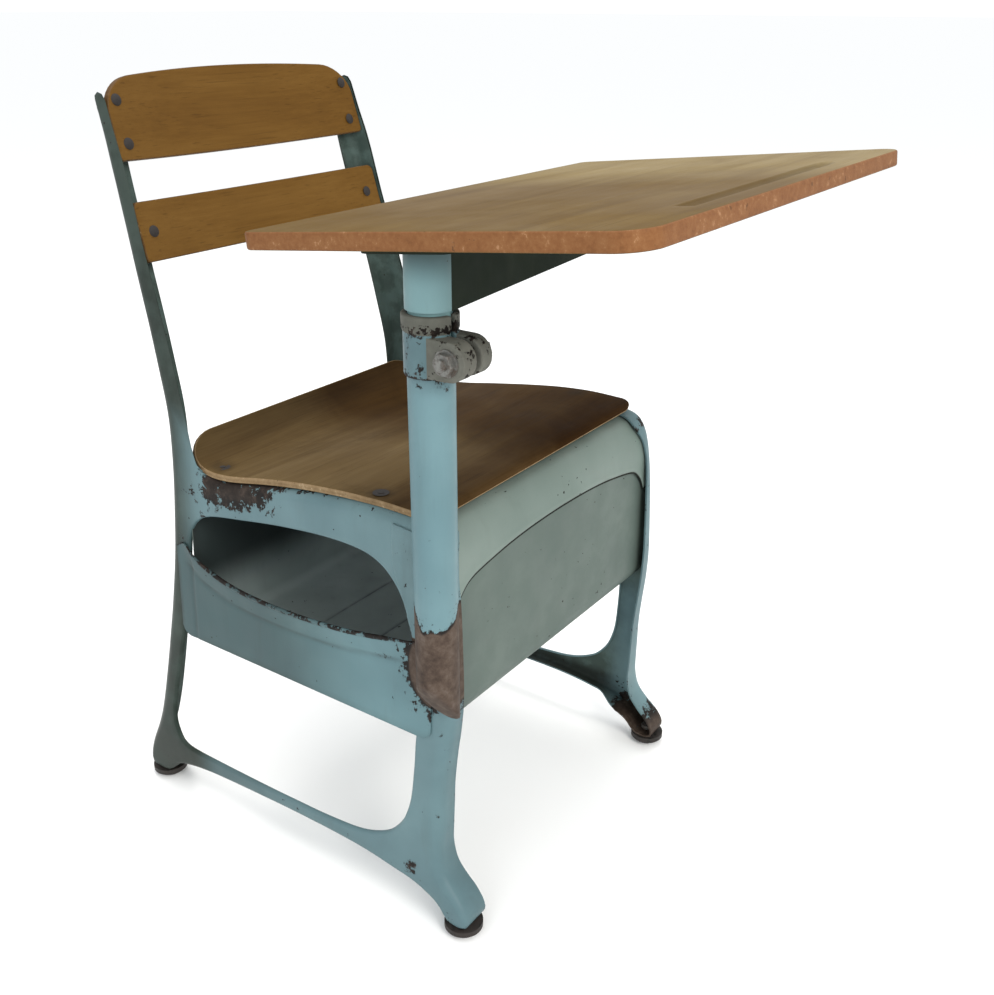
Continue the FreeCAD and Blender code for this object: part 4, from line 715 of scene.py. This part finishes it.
def box_side(near):
    b = Build()
    top = catmull([(p[0], p[1], 1.0) for p in P_TOP], 3.0, closed=False)
    top = [(max(p[0], 30.6), p[1]) for p in top]

    def z_bot(y):
        z = 219.0
        if y < 44.0:
            z += 12.0 * (1 - math.sqrt(max(0.0, 1 - ((44.0 - y) / 13.6) ** 2)))
        if y > 360.0:
            z += 12.0 * (1 - math.sqrt(max(0.0, 1 - ((y - 360.0) / 13.6) ** 2)))
        return z
    R = 26
    grid = []
    for (y, zt) in top:
        zb = z_bot(y)
        col = []
        for r in range(R + 1):
            f = r / R
            f = 1 - (1 - f) ** 1.25
            z = lerp(zb, zt, f)
            d = zt - z
            # upper strip leans outward above a pressed crease
            body = sstep(40.0, 75.0, y) * sstep(368.0, 346.0, y)
            off = 1.6 + body * (2.6 * sstep(20.0, 0.0, d) - 0.7 * math.exp(-((d - 21.0) / 2.2) ** 2))
            # rear end: a vertical crease
            off += -0.6 * math.exp(-((y - 352.0) / 1.8) ** 2) * sstep(2.0, 10.0, d)
            c = 0.0
            c = max(c, 0.78 * sstep(4.5, 0.0, d) * sstep(28.0, 60.0, y))
            if near:
                c = max(c, 1.25 * sstep(1.12, 0.70, math.hypot((y - 26.0) / 37.0, (z - 294.0) / 45.0)))
                c = max(c, 0.68 * sstep(1.2, 0.5, math.hypot((y - 40.0) / 40.0, (z - 306.0) / 18.0)))
                c = max(c, 0.62 * sstep(1.3, 0.7, math.hypot((y - 28.0) / 43.0, (z - 288.0) / 54.0)))
                c = max(c, 0.40 * sstep(9.0, 2.0, abs(d - 20.0)) * sstep(170, 60, y))
            c = max(c, 0.30 * sstep(4.0, 0.0, z - zb))
            c = max(c, 0.35 * sstep(5.0, 0.0, 373.4 - y))
            # painted shade in the pressed creases; also darker at the rear end and along the bottom edge
            dirt_and_shade = 0.6 * math.exp(-((d - 21.0) / 1.8) ** 2) * body + 0.6 * math.exp(-((y - 352.0) / 1.5) ** 2) * sstep(2.0, 10.0, d)
            dirt_and_shade = max(dirt_and_shade, 0.8 * sstep(5.0, 0.0, 373.4 - y), 0.35 * sstep(8.0, 0.0, z - zb))
            col.append(b.vert(web_x(z, -off), y, z, chip=c, dirt_and_shade=dirt_and_shade))
        grid.append(col)
    for i in range(len(grid) - 1):
        for r in range(R):
            b.face((grid[i][r], grid[i + 1][r], grid[i + 1][r + 1], grid[i][r + 1]), (1, 0, 0))
    return b, top


def tube(b, path, rad, seg=10, chip=0.0, dirt_and_shade=0.0, cap=True, mat=0):
    """A round bead along a path of layout points."""
    P = [Vector(p) for p in path]
    n = len(P)
    prev = None
    rings = []
    for i in range(n):
        t = (P[min(n - 1, i + 1)] - P[max(0, i - 1)]).normalized()
        if prev is None:
            a = t.cross(Vector((1, 0, 0)))
            if a.length < 1e-3:
                a = t.cross(Vector((0, 0, 1)))
            prev = a.normalized()
        prev = (prev - t * prev.dot(t)).normalized()
        q = t.cross(prev)
        rr = rad(i / (n - 1)) if callable(rad) else rad
        ch = chip(P[i]) if callable(chip) else chip
        rings.append([b.vert(*(P[i] + (prev * math.cos(2 * math.pi * k / seg) + q * math.sin(2 * math.pi * k / seg)) * rr), chip=ch, dirt_and_shade=dirt_and_shade) for k in range(seg)])
    for i in range(n - 1):
        for k in range(seg):
            j = (k + 1) % seg
            c = (Vector(b.v[rings[i][k]]) + Vector(b.v[rings[i][j]])) / 2 - P[i]
            b.face((rings[i][k], rings[i][j], rings[i + 1][j], rings[i + 1][k]), c, mat)
    if cap:
        for i, s in ((0, -1), (n - 1, 1)):
            t = (P[min(n - 1, i + 1)] - P[max(0, i - 1)]).normalized() * s
            b.face(rings[i], t, mat)


def box_side_piece(near):
    b, top = box_side(near)
    # thickness by hand, so that the bead can be added closed
    n0, f0 = len(b.v), list(b.f)
    for i in range(n0):
        x, y, z = b.v[i]
        c, d, t = b.a[i]
        b.vert(x - 1.4, y, z, c, d + 0.2, t)
    for f in f0:
        b.face([q + n0 for q in reversed(f)])
    edges = {}
    for f in f0:
        for a, c in zip(f, f[1:] + f[:1]):
            edges[(a, c)] = edges.get((a, c), 0) + 1
    for (a, c) in list(edges):
        if (c, a) not in edges:
            b.face((c, a, a + n0, c + n0))
    run = [p for p in top if 52.0 < p[0] < 352.0]
    tube(b, [(web_x(z, -2.9), y, z - 0.4) for y, z in run], lambda f: 2.3 * min(1.0, 0.35 + 6 * min(f, 1 - f)), 10,
         chip=lambda p: 0.66 + 0.26 * noise.noise(p * 0.05) if near else 0.4, dirt_and_shade=0.35)
    return b


bsL = box_side_piece(False).make("box_side_left", [MAT_SIDE], merge=0.0)
place(bsL, "chair", "box_paint", "left_box_side")
bsR = box_side_piece(True).mirror().make("box_side_right", [MAT_SIDE], merge=0.0)
place(bsR, "chair", "box_paint", "right_box_side")


# ------------------------------------------------------------------ book box pan and front apron
def pan_mesh():
    b = Build()
    FR, RR, B, Z0 = 21.4, 352.0, 28.0, 220.0
    path = []
    for i in range(13):
        path.append((FR, lerp(391.0, Z0 + B, i / 12.0)))
    for i in range(1, 11):
        a = math.radians(180 + 9 * i)
        path.append((FR + B + B * math.cos(a), Z0 + B + B * math.sin(a)))
    ys = [62, 80, 98, 112, 115.2, 117.0, 118, 119.0, 120.8, 124, 150, 184, 187.2, 189.0, 190, 191.0, 192.8, 196, 225, 256, 259.2, 261.0, 262, 263.0, 264.8, 268, 300, 325]
    for y in ys:
        d = min(abs(y - q) for q in (118, 190, 262))
        path.append((float(y), Z0 - 1.1 * max(0.0, 1 - d / 3.2)))
    for i in range(0, 8):
        a = math.radians(270 + 90 * i / 7.0)
        path.append((RR - 12 + 12 * math.cos(a), Z0 + 12 + 12 * math.sin(a)))
    for i in range(1, 12):
        path.append((RR, lerp(Z0 + 12, 398.0, i / 11.0)))
    W = 40
    rows = []
    for (y, z) in path:
        row = []
        hw = web_x(z, SHEET + 0.3)
        for k in range(W + 1):
            u = -1 + 2.0 * k / W
            x = hw * u
            zz = z
            if y < FR + 0.1 and z > 300:
                zz = min(z, 381.0 + 9.6 * (1 - (x / 200.0) ** 2))
            # painted shade along the floor creases and at the panel ends where they meet the frames
            d = min(abs(y - q) for q in (118, 190, 262)) if z < 222 else 9
            end_shade = sstep(hw - 22.0, hw - 12.0, abs(x)) if y < 60.0 else sstep(hw - 9.0, hw - 1.0, abs(x)) * 0.5
            row.append(b.vert(x, y, zz, chip=0.0, dirt_and_shade=max(0.85 * max(0.0, 1 - d / 3.0), 1.0 * end_shade)))
        rows.append(row)
    for i in range(len(rows) - 1):
        (y0, z0), (y1, z1) = path[i], path[i + 1]
        out = (0, -(z0 - z1) - 1e-6, -(y1 - y0))
        for k in range(W):
            b.face((rows[i][k], rows[i][k + 1], rows[i + 1][k + 1], rows[i + 1][k]), out)
    return b


pan = pan_mesh().make("book_pan", [MAT_FRONT_SHADE, MAT_INSIDE_LIT], merge=0.02, angle=30)
md = pan.modifiers.new("t", "SOLIDIFY")
md.thickness = 0.0012
md.offset = -1.0
md.use_even_offset = True
md.material_offset = 1
apply_mods(pan)
smooth_by_angle(pan, 30)
place(pan, "chair", "box_paint", "book_box_pan")

AP = [(18.2, 322.0), (18.2, 345.0), (18.2, 366.0), (18.6, 384.0), (19.6, 394.0), (21.8, 404.0), (25.8, 414.5),
      (31.0, 422.6), (37.0, 428.0), (45.0, 431.4), (53.0, 432.6), (62.0, 432.8)]
ARCH = [(0.0, 387.5), (30.0, 387.0), (60.0, 385.8), (90.0, 383.4), (115.0, 380.2), (135.0, 377.0),
        (148.0, 374.2), (157.0, 370.6), (165.0, 364.4), (172.0, 356.4), (176.5, 348.0), (177.5, 345.0)]


def arch_z(x):
    x = abs(x)
    for (xa, za), (xb, zb) in zip(ARCH, ARCH[1:]):
        if xa <= x <= xb:
            return lerp(za, zb, (x - xa) / (xb - xa))
    return 345.0


def apron_mesh():
    b = Build()
    prof = catmull([(p[0], p[1], 1.0) for p in AP], 3.0, closed=False)
    # distance along the profile against height, up to the roll-over
    L = [0.0]
    for p, q in zip(prof, prof[1:]):
        L.append(L[-1] + math.hypot(q[0] - p[0], q[1] - p[1]))

    def at(s):
        for i in range(len(L) - 1):
            if s <= L[i + 1] + 1e-9:
                t = (s - L[i]) / max(1e-9, L[i + 1] - L[i])
                return lerp(prof[i][0], prof[i + 1][0], t), lerp(prof[i][1], prof[i + 1][1], t)
        return prof[-1][0], prof[-1][1]

    def s_of_z(z):
        for i in range(len(L) - 1):
            if prof[i][1] <= z <= prof[i + 1][1]:
                return lerp(L[i], L[i + 1], (z - prof[i][1]) / max(1e-9, prof[i + 1][1] - prof[i][1]))
        return 0.0
    dense = catmull([(p[0], p[1], 1.0) for p in ARCH], 2.5, closed=False)
    xs = []
    for p in dense:
        if not xs or p[0] > xs[-1][0] + 0.02:
            xs.append((p[0], p[1]))
    xs += [(178.0, 345.0), (182.0, 345.0), (190.0, 345.0)]
    cols = [(-x, z) for x, z in reversed(xs[1:])] + xs
    R = 24
    grid = []
    for (x, z0) in cols:
        s0 = s_of_z(z0)
        col = []
        for r in range(R + 1):
            s = s0 + (0.0, 1.0, 2.0, 2.3)[r] if r < 4 else lerp(s0 + 2.3, L[-1], ((r - 3) / (R - 3)) ** 1.15)
            y, z = at(s)
            lim = web_x(z, SHEET + 1.2)
            xx = max(-lim, min(lim, x))
            if abs(x) > 189:
                xx = math.copysign(lim, x)
            d = s - s0
            # the arched edge stands out a little over the joint; the dark rows along it are painted gap shadow
            y -= 0.9 * sstep(1.4, 3.6, d) * sstep(13.0, 3.6, d)
            # painted shadow near the arched edge, painted shade at the ends beside the frames, and darker up at the
            # roll-over under the seat edge
            end_shade = sstep(lim - 12.0, lim - 2.0, abs(xx))
            col.append(b.vert(xx, y, z, chip=0.0, dirt_and_shade=max(0.5 * sstep(5.0, 2.0, d), 0.9 * end_shade, 0.6 * sstep(425.0, 431.0, z))))
        grid.append(col)
    for i in range(len(grid) - 1):
        for r in range(R):
            # the first two rows along the arch take the dark painted gap-shadow material
            b.face((grid[i][r], grid[i + 1][r], grid[i + 1][r + 1], grid[i][r + 1]), (0, -1, 0.4), 1 if r < 2 else 0)
    return b


ap = apron_mesh().make("front_apron_sheet", [MAT_APRON_LIT, MAT_ARCH_SHADOW], merge=0.02, thick=1.4, angle=40)
place(ap, "chair", "box_paint", "front_apron")


# ------------------------------------------------------------------ boards: seat, slats, writing top
def slab(b, grid, T, r, e_mat=1, dirt_fn=None):
    """Closed board from a grid of (point, normal) on its top face, drawn in by r from the
    real outline; edges are rounded with r, and edge faces take their own material."""
    nr, nc = len(grid), len(grid[0])
    top = [[None] * nc for _ in range(nr)]
    bot = [[None] * nc for _ in range(nr)]
    for i in range(nr):
        for j in range(nc):
            p, n, dep = grid[i][j]
            d = dirt_fn(p) if dirt_fn else 0.0
            q = p - n * dep
            top[i][j] = b.vert(q.x, q.y, q.z, dirt_and_shade=d, tk=0.0)
            q = p - n * T
            bot[i][j] = b.vert(q.x, q.y, q.z, dirt_and_shade=d * 0.5, tk=1.0)
    n0 = grid[nr // 2][nc // 2][1]
    for i in range(nr - 1):
        for j in range(nc - 1):
            n = grid[i][j][1]
            b.face((top[i][j], top[i][j + 1], top[i + 1][j + 1], top[i + 1][j]), n, 0)
            b.face((bot[i][j], bot[i][j + 1], bot[i + 1][j + 1], bot[i + 1][j]), -n, 0)
    loop = [(0, j) for j in range(nc)] + [(i, nc - 1) for i in range(1, nr)] + \
           [(nr - 1, j) for j in range(nc - 2, -1, -1)] + [(i, 0) for i in range(nr - 2, 0, -1)]
    K = len(loop)
    cen = sum((grid[i][j][0] for i, j in loop), Vector()) / K
    lat = []
    for k in range(K):
        i, j = loop[k]
        pa = grid[loop[k - 1][0]][loop[k - 1][1]][0]
        pb = grid[loop[(k + 1) % K][0]][loop[(k + 1) % K][1]][0]
        n = grid[i][j][1]
        t = (pb - pa).cross(n)
        if t.length < 1e-6:
            t = grid[i][j][0] - cen
        t.normalize()
        if t.dot(grid[i][j][0] - cen) < 0:
            t = -t
        lat.append(t)
    rows = [[top[i][j] for i, j in loop]]
    steps = []
    for th in (22.5, 45, 67.5, 90):
        a = math.radians(th)
        steps.append((r * math.sin(a), r * (1 - math.cos(a)), th > 40))
    for f in (0.25, 0.5, 0.75):
        steps.append((r, lerp(r, T - r, f), True))
    for th in (90, 67.5, 45, 22.5):
        a = math.radians(th)
        steps.append((r * math.sin(a), T - r * (1 - math.cos(a)), th > 40))
    mats = []
    for (so, dn, em) in steps:
        row = []
        for k in range(K):
            i, j = loop[k]
            p, n, dep = grid[i][j]
            q = p + lat[k] * so - n * dn
            row.append(b.vert(q.x, q.y, q.z, dirt_and_shade=(dirt_fn(p) if dirt_fn else 0.0), tk=dn / T))
        rows.append(row)
        mats.append(em)
    rows.append([bot[i][j] for i, j in loop])
    mats.append(True)
    for a in range(len(rows) - 1):
        mt = e_mat if (mats[a] and a > 0) else 0
        for k in range(K):
            l = (k + 1) % K
            n = grid[loop[k][0]][loop[k][1]][1]
            up = n * (0.5 - (a / (len(rows) - 1))) * 1.2
            b.face((rows[a][k], rows[a][l], rows[a + 1][l], rows[a + 1][k]), lat[k] + up, mt)


def corner_rows(length, r0, r1, mid_step, extra=()):
    """Stations along a board with round corners: (position, how far the side is drawn in)."""
    st = []
    K = 9
    for k in range(K + 1):
        a = math.radians(90.0 * k / K)
        st.append((r0 * (1 - math.cos(a)), r0 * (1 - math.sin(a))))
    st = [(p, q) for p, q in st]
    n = max(2, int((length - r0 - r1) / mid_step))
    ms = [r0 + (length - r0 - r1) * k / n for k in range(1, n)] + list(extra)
    for m in sorted(ms):
        if m > st[-1][0] + 0.3:
            st.append((m, 0.0))
    for k in range(K + 1):
        a = math.radians(90.0 * (K - k) / K)
        p = length - r1 * (1 - math.cos(a))
        if p > st[-1][0] + 1e-4:
            st.append((p, r1 * (1 - math.sin(a))))
    return st


SEAT_TOP = [(38.0, 437.0), (40.5, 441.2), (47.0, 443.4), (63.0, 444.2), (80.0, 444.6), (95.0, 444.6), (120.0, 443.4),
            (143.0, 441.6), (170.0, 438.6), (195.0, 435.3), (235.0, 429.0), (278.0, 421.4), (300.0, 418.6),
            (316.0, 418.0), (330.0, 420.4), (342.0, 426.2), (352.0, 434.5), (360.0, 444.0)]


def seat_mesh():
    b = Build()
    prof = catmull([(p[0], p[1], 1.0) for p in SEAT_TOP], 2.0, closed=False)
    L = [0.0]
    for p, q in zip(prof, prof[1:]):
        L.append(L[-1] + math.hypot(q[0] - p[0], q[1] - p[1]))
    tot = L[-1]

    def at(s):
        s = max(0.0, min(tot, s))
        lo = 0
        hi = len(L) - 1
        while hi - lo > 1:
            m = (lo + hi) // 2
            if L[m] <= s:
                lo = m
            else:
                hi = m
        t = (s - L[lo]) / max(1e-9, L[hi] - L[lo])
        y, z = lerp(prof[lo][0], prof[hi][0], t), lerp(prof[lo][1], prof[hi][1], t)
        a, c = prof[max(0, lo - 1)], prof[min(len(prof) - 1, hi + 1)]
        ty, tz = c[0] - a[0], c[1] - a[1]
        q = math.hypot(ty, tz)
        return y, z, -tz / q, ty / q
    r = 1.5
    HW = 184.5 - r
    st = corner_rows(tot - 2 * r, 19.0, 40.0, 5.0)
    C = 44
    grid = []
    for (s, draw) in st:
        y, z, ny, nz = at(s + r)
        hw = HW - draw + 2.8 * sstep(250.0, 300.0, y)
        row = []
        for j in range(C + 1):
            u = -1 + 2.0 * j / C
            x = hw * u
            # a very slight dish across the middle
            dip = 2.0 * (1 - (x / 184.5) ** 2) * sstep(60, 150, y) * sstep(345, 300, y)
            lean = 1.8 * (x / 184.5) * sstep(220.0, 90.0, y)
            row.append((Vector((x, y, z + lean)), Vector((0, ny, nz)), dip))
        grid.append(row)

    def dirt_and_shade(p):
        d = 0.0
        for sx in (1, -1):
            for (bx, by) in ((171.0, 106.0), (171.0, 318.0)):
                d = max(d, 0.55 * sstep(16.0, 7.0, math.hypot(p.x - sx * bx, p.y - by)))
        d = max(d, 0.30 * sstep(325.0, 350.0, p.y))
        return d
    slab(b, grid, 6.6, r, 1, dirt_and_shade)
    return b


seat = seat_mesh().make("seat_board", [MAT_SEAT, MAT_SEAT_E], merge=0.01, angle=50)
place(seat, "chair", "seat_ply", "seat")


def slat_mesh(z0, z1, hb, ht, cb, ct, bow):
    b = Build()
    cl = math.cos(math.atan(SLAT_LEAN))
    sl = math.sin(math.atan(SLAT_LEAN))
    R = (SLAT_BX ** 2 + SLAT_SAG ** 2) / (2 * SLAT_SAG)
    s0, s1 = (z0 - SLAT_Z) / cl, (z1 - SLAT_Z) / cl
    r = 1.5
    st = corner_rows(s1 - s0 - 2 * r, cb, ct, 5.0)
    C = 60
    grid = []
    for (s, draw) in st:
        f = s / (s1 - s0 - 2 * r)
        hw = lerp(hb, ht, f) - r - draw
        row = []
        for j in range(C + 1):
            u = -1 + 2.0 * j / C
            x = hw * u
            ss = s0 + r + s - bow * f * (x / ht) ** 2
            yo = math.sqrt(R * R - x * x) - (R - SLAT_SAG)
            nx, ny = -x / R, -math.sqrt(R * R - x * x) / R
            # local (x, yo, ss) -> leaned
            y = SLAT_Y + yo * cl + ss * sl
            z = SLAT_Z + ss * cl - yo * sl
            n = Vector((-nx * -1.0, ny * cl, -ny * sl)).normalized()
            row.append((Vector((x, y, z)), n, 0.0))
        grid.append(row)
    slab(b, grid, SLAT_T, r, 1)
    return b


us = slat_mesh(710.5, 793.5, 172.8, 169.6, 3.0, 34.0, 11.0).make("slat_upper", [MAT_SLAT, MAT_SLAT_E], merge=0.01, angle=50)
place(us, "chair", "slat_ply", "upper_back_slat")
ls = slat_mesh(617.0, 673.5, 176.2, 174.8, 3.5, 6.0, 0.5).make("slat_lower", [MAT_SLAT, MAT_SLAT_E], merge=0.01, angle=50)
place(ls, "chair", "slat_ply", "lower_back_slat")

A_D = math.atan(DESK_SLOPE)
CA, SA = math.cos(A_D), math.sin(A_D)


def desk_mesh():
    b = Build()
    LEN = (DESK_Y1 - DESK_Y0) / CA
    r = 1.9
    GC = (163.0 + DESK_Y1) / CA          # groove centre from the rear edge, along the board
    gL = LEN - GC                        # from the front edge
    ext = [gL - r + q for q in (-11, -9, -8, -7.2, -6.4, -5.2, -4, -2.6, -1.3, 0, 1.3, 2.6, 4, 5.2, 6.4, 7.2, 8, 9, 11)]
    st = corner_rows(LEN - 2 * r, 27.0 - r, 9.0, 9.0, ext)
    xs = [-1 + 2.0 * j / 60 for j in range(61)]
    grid = []
    for (s, draw) in st:
        hw = DESK_HALF - r - draw
        row = []
        xl = [hw * u for u in xs]
        # groove depth at each point: a rounded dip along the groove line, closed off at its ends
        for x in xl:
            l = LEN - (s + r)            # from the rear edge
            y = DESK_Y1 - l * CA
            z = DESK_ZR + l * SA
            dx = max(0.0, abs(x + 2.0) - 135.0)
            dl = abs((s + r) - gL)
            d = math.hypot(dx, dl)
            dep = 3.3 * max(0.0, 1 - (d / 8.0) ** 2) ** 0.8
            row.append((Vector((x, y, z)), Vector((0, SA, CA)), dep))
        grid.append(row)

    def dirt_and_shade(p):
        l = (DESK_Y1 - p.y) / CA
        dx = max(0.0, abs(p.x + 2.0) - 135.0)
        d = math.hypot(dx, abs((LEN - l) - gL))
        return 0.42 * sstep(10.5, 6.0, d)
    slab(b, grid, DESK_T, r, 1, dirt_and_shade)
    return b


dk = desk_mesh().make("writing_top", [MAT_DESK, MAT_DESK_E], merge=0.01, angle=50)
place(dk, "desk", "desk_ply", "desk_top")


# ------------------------------------------------------------------ lower post
def post_mesh():
    b = Build()
    seg = 64
    rows = []
    H = 46
    for h in range(H + 1):
        row = []
        for k in range(seg):
            a = 2 * math.pi * k / seg
            x = POST_X + POST_R * math.cos(a)
            y = POST_Y + POST_R * math.sin(a)
            zb = 256.2 + 54.0 * (x + 202.95) / -38.1 + 2.5
            z = lerp(zb, 606.0, (h / H) ** 1.25)
            # direction towards the viewer's side gets the lowest point of the paint
            face = math.cos(a - math.radians(215.0))
            lim = 387.0 - 25.0 * max(0.0, face) ** 1.6 + 12.0 * noise.noise(Vector((x * 0.09, y * 0.09, 3.0)))
            c = 1.5 * sstep(9.0, -7.0, z - lim)
            c = max(c, 0.30 * sstep(40.0, 0.0, z - lim))
            c = max(c, 0.42 * sstep(570.0, 589.0, z))
            row.append(b.vert(x, y, z, chip=c, dirt_and_shade=0.35 * sstep(575.0, 590.0, z)))
        rows.append(row)
    for h in range(H):
        for k in range(seg):
            l = (k + 1) % seg
            a = 2 * math.pi * (k + 0.5) / seg
            b.face((rows[h][k], rows[h][l], rows[h + 1][l], rows[h + 1][k]), (math.cos(a), math.sin(a), 0))
    # closed, rounded lower end on the mitre plane
    nrm = Vector((-54.0, 0.0, -38.1)).normalized()      # points down and out
    prev = rows[0]
    for q, (f, dn) in enumerate(((0.965, 1.6), (0.88, 3.0), (0.72, 4.2), (0.45, 5.0), (0.15, 5.3))):
        row = []
        for k in range(seg):
            a = 2 * math.pi * k / seg
            x = POST_X + POST_R * f * math.cos(a)
            y = POST_Y + POST_R * f * math.sin(a)
            z = 256.2 + 54.0 * (x + 202.95) / -38.1 + 2.5
            p = Vector((x, y, z)) + nrm * dn * 0.8
            row.append(b.vert(p.x, p.y, p.z, chip=1.5))
        for k in range(seg):
            l = (k + 1) % seg
            a = 2 * math.pi * (k + 0.5) / seg
            b.face((prev[k], prev[l], row[l], row[k]), nrm * (0.4 + q) + Vector((math.cos(a), math.sin(a), 0)) * max(0.0, 1.0 - 0.4 * q))
        prev = row
    b.face(prev, nrm)
    return b


po = post_mesh().make("post_tube", [MAT_POST], merge=0.0, angle=60)
place(po, "chair", "post_paint", "lower_post", "post_end_cap")


# ------------------------------------------------------------------ cast parts: softened copies of their solids
def softened(name, node, mat, voxel=1.1, rounds=4, chip=0.35, dirt_and_shade=0.3, chip_fn=None):
    src = NODES[node]
    ob = bpy.data.objects.new(name, src.data.copy())
    bpy.context.scene.collection.objects.link(ob)
    md = ob.modifiers.new("r", "REMESH")
    md.mode = "VOXEL"
    md.voxel_size = voxel / 1000.0
    md.adaptivity = 0.0
    md = ob.modifiers.new("s", "SMOOTH")
    md.factor = 0.5
    md.iterations = rounds
    apply_mods(ob)
    me = ob.data
    for nm in ("chip", "dirt_and_shade", "tk"):
        if nm in me.attributes:
            me.attributes.remove(me.attributes[nm])
    at = me.attributes.new("chip", "FLOAT", "POINT")
    at.data.foreach_set("value", [chip_fn(v.co) if chip_fn else chip for v in me.vertices])
    at = me.attributes.new("dirt_and_shade", "FLOAT", "POINT")
    at.data.foreach_set("value", [dirt_and_shade] * len(me.vertices))
    me.materials.clear()
    for m in mat if isinstance(mat, (list, tuple)) else [mat]:
        me.materials.append(m)
    for p in me.polygons:
        p.use_smooth = True
    return ob


def clamp_chip(co):
    z = co.z * 1000.0
    c = 0.30 + 0.35 * sstep(593.0, 589.5, z) + 0.25 * sstep(620.0, 626.0, z) * sstep(634.0, 628.0, z)
    return c


cl = softened("clamp_casting", "post_clamp", [MAT_CLAMP, MAT_POST], 0.9, 3, 0.22, 0.5, clamp_chip)
for p in cl.data.polygons:
    c = p.center
    if c.z < 0.6238 and math.hypot(c.x * 1000.0 - POST_X, c.y * 1000.0 + YC - POST_Y) < 22.4:
        p.material_index = 1
place(cl, "chair", "clamp_paint", "post_clamp")
sd = softened("post_foot_saddle", "post_saddle", MAT_POST, 1.2, 4, 1.3, 0.2)
place(sd, "chair", "frame_paint", "post_saddle")
mp = softened("post_wing_plate", "post_mounting_plate", MAT_FRAME, 0.9, 2, 0.25, 0.2)
place(mp, "chair", "frame_paint", "post_mounting_plate")

# ------------------------------------------------------------------ CAD nodes that keep their shape
# the rear seat rail takes the box-inside material, which paints it dark as shade under the seat
for names, mat in (
    (("rear_seat_rail",), MAT_INSIDE_LIT),
    (("upper_post",), MAT_TUBE),
    (("arm_sleeve",), MAT_SLEEVE),
    (("desk_arm", "desk_mounting_plate"), MAT_ARM_SHADOW),
    (("back_slat_bolts", "seat_bolts", "desk_screws"), MAT_BOLT),
    (("back_slat_nuts", "seat_nuts", "glide_nuts", "clamp_bolt", "clamp_nut", "clamp_washers"), MAT_NUT),
    (("floor_glides",), MAT_GLIDE),
):
    for nm in names:
        o = NODES[nm]
        o.data.materials.clear()
        o.data.materials.append(mat)
        for p in o.data.polygons:
            p.material_index = 0

# ------------------------------------------------------------------ stage, light, camera
fm = Nodes("studio_floor")
fl_mat = fm.done((0.93, 0.93, 0.925), 0.9, 0.0, spec=0.0)
me = bpy.data.meshes.new("studio_floor")
F = 90.0
me.from_pydata([(-F, -F, 0), (F, -F, 0), (F, F, 0), (-F, F, 0)], [], [(0, 1, 2, 3)])
me.materials.append(fl_mat)
floor = bpy.data.objects.new("studio_floor", me)
bpy.context.scene.collection.objects.link(floor)

w = bpy.data.worlds.new("studio")
bpy.context.scene.world = w
w.use_nodes = True
bg = w.node_tree.nodes["Background"]
bg.inputs[0].default_value = (0.97, 0.985, 1.0, 1.0)
bg.inputs[1].default_value = 1.08


def area(name, loc, target, size, power, color):
    d = bpy.data.lights.new(name, "AREA")
    d.shape = "DISK"
    d.size = size
    d.energy = power
    d.color = color
    o = bpy.data.objects.new(name, d)
    o.location = loc
    o.rotation_euler = (Vector(target) - Vector(loc)).to_track_quat("-Z", "Y").to_euler()
    bpy.context.scene.collection.objects.link(o)
    return o


area("key", (-1.1, -2.5, 2.2), (0.0, 0.0, 0.4), 1.5, 66.0, (1.0, 0.975, 0.93))
area("side", (-2.7, -0.4, 1.6), (0.0, 0.0, 0.4), 1.6, 14.0, (0.90, 0.95, 1.0))
area("top", (0.5, 0.5, 3.0), (0.0, 0.0, 0.4), 1.8, 42.0, (1.0, 0.98, 0.95))

cam = bpy.data.cameras.new("cam")
cam.sensor_width = 36.0
cam.lens = 36.0 * 1112.0 / 995.0
cam.clip_start = 0.05
co = bpy.data.objects.new("cam", cam)
fwd = Vector((0.7493, 0.5227, -0.4067)).normalized()
right = Vector((0.5721, -0.8202, 0.0))
right = (right - fwd * right.dot(fwd)).normalized()
up = right.cross(fwd).normalized()
roll = math.radians(0.2)
r2 = right * math.cos(roll) + up * math.sin(roll)
u2 = -right * math.sin(roll) + up * math.cos(roll)
mw = Matrix((r2, u2, -fwd)).transposed().to_4x4()
mw.translation = Vector((-0.8698, -0.5102 - YC / 1000.0, 0.8510))
co.matrix_world = mw
bpy.context.scene.collection.objects.link(co)
bpy.context.scene.camera = co
bpy.context.scene.view_settings.view_transform = "Standard"
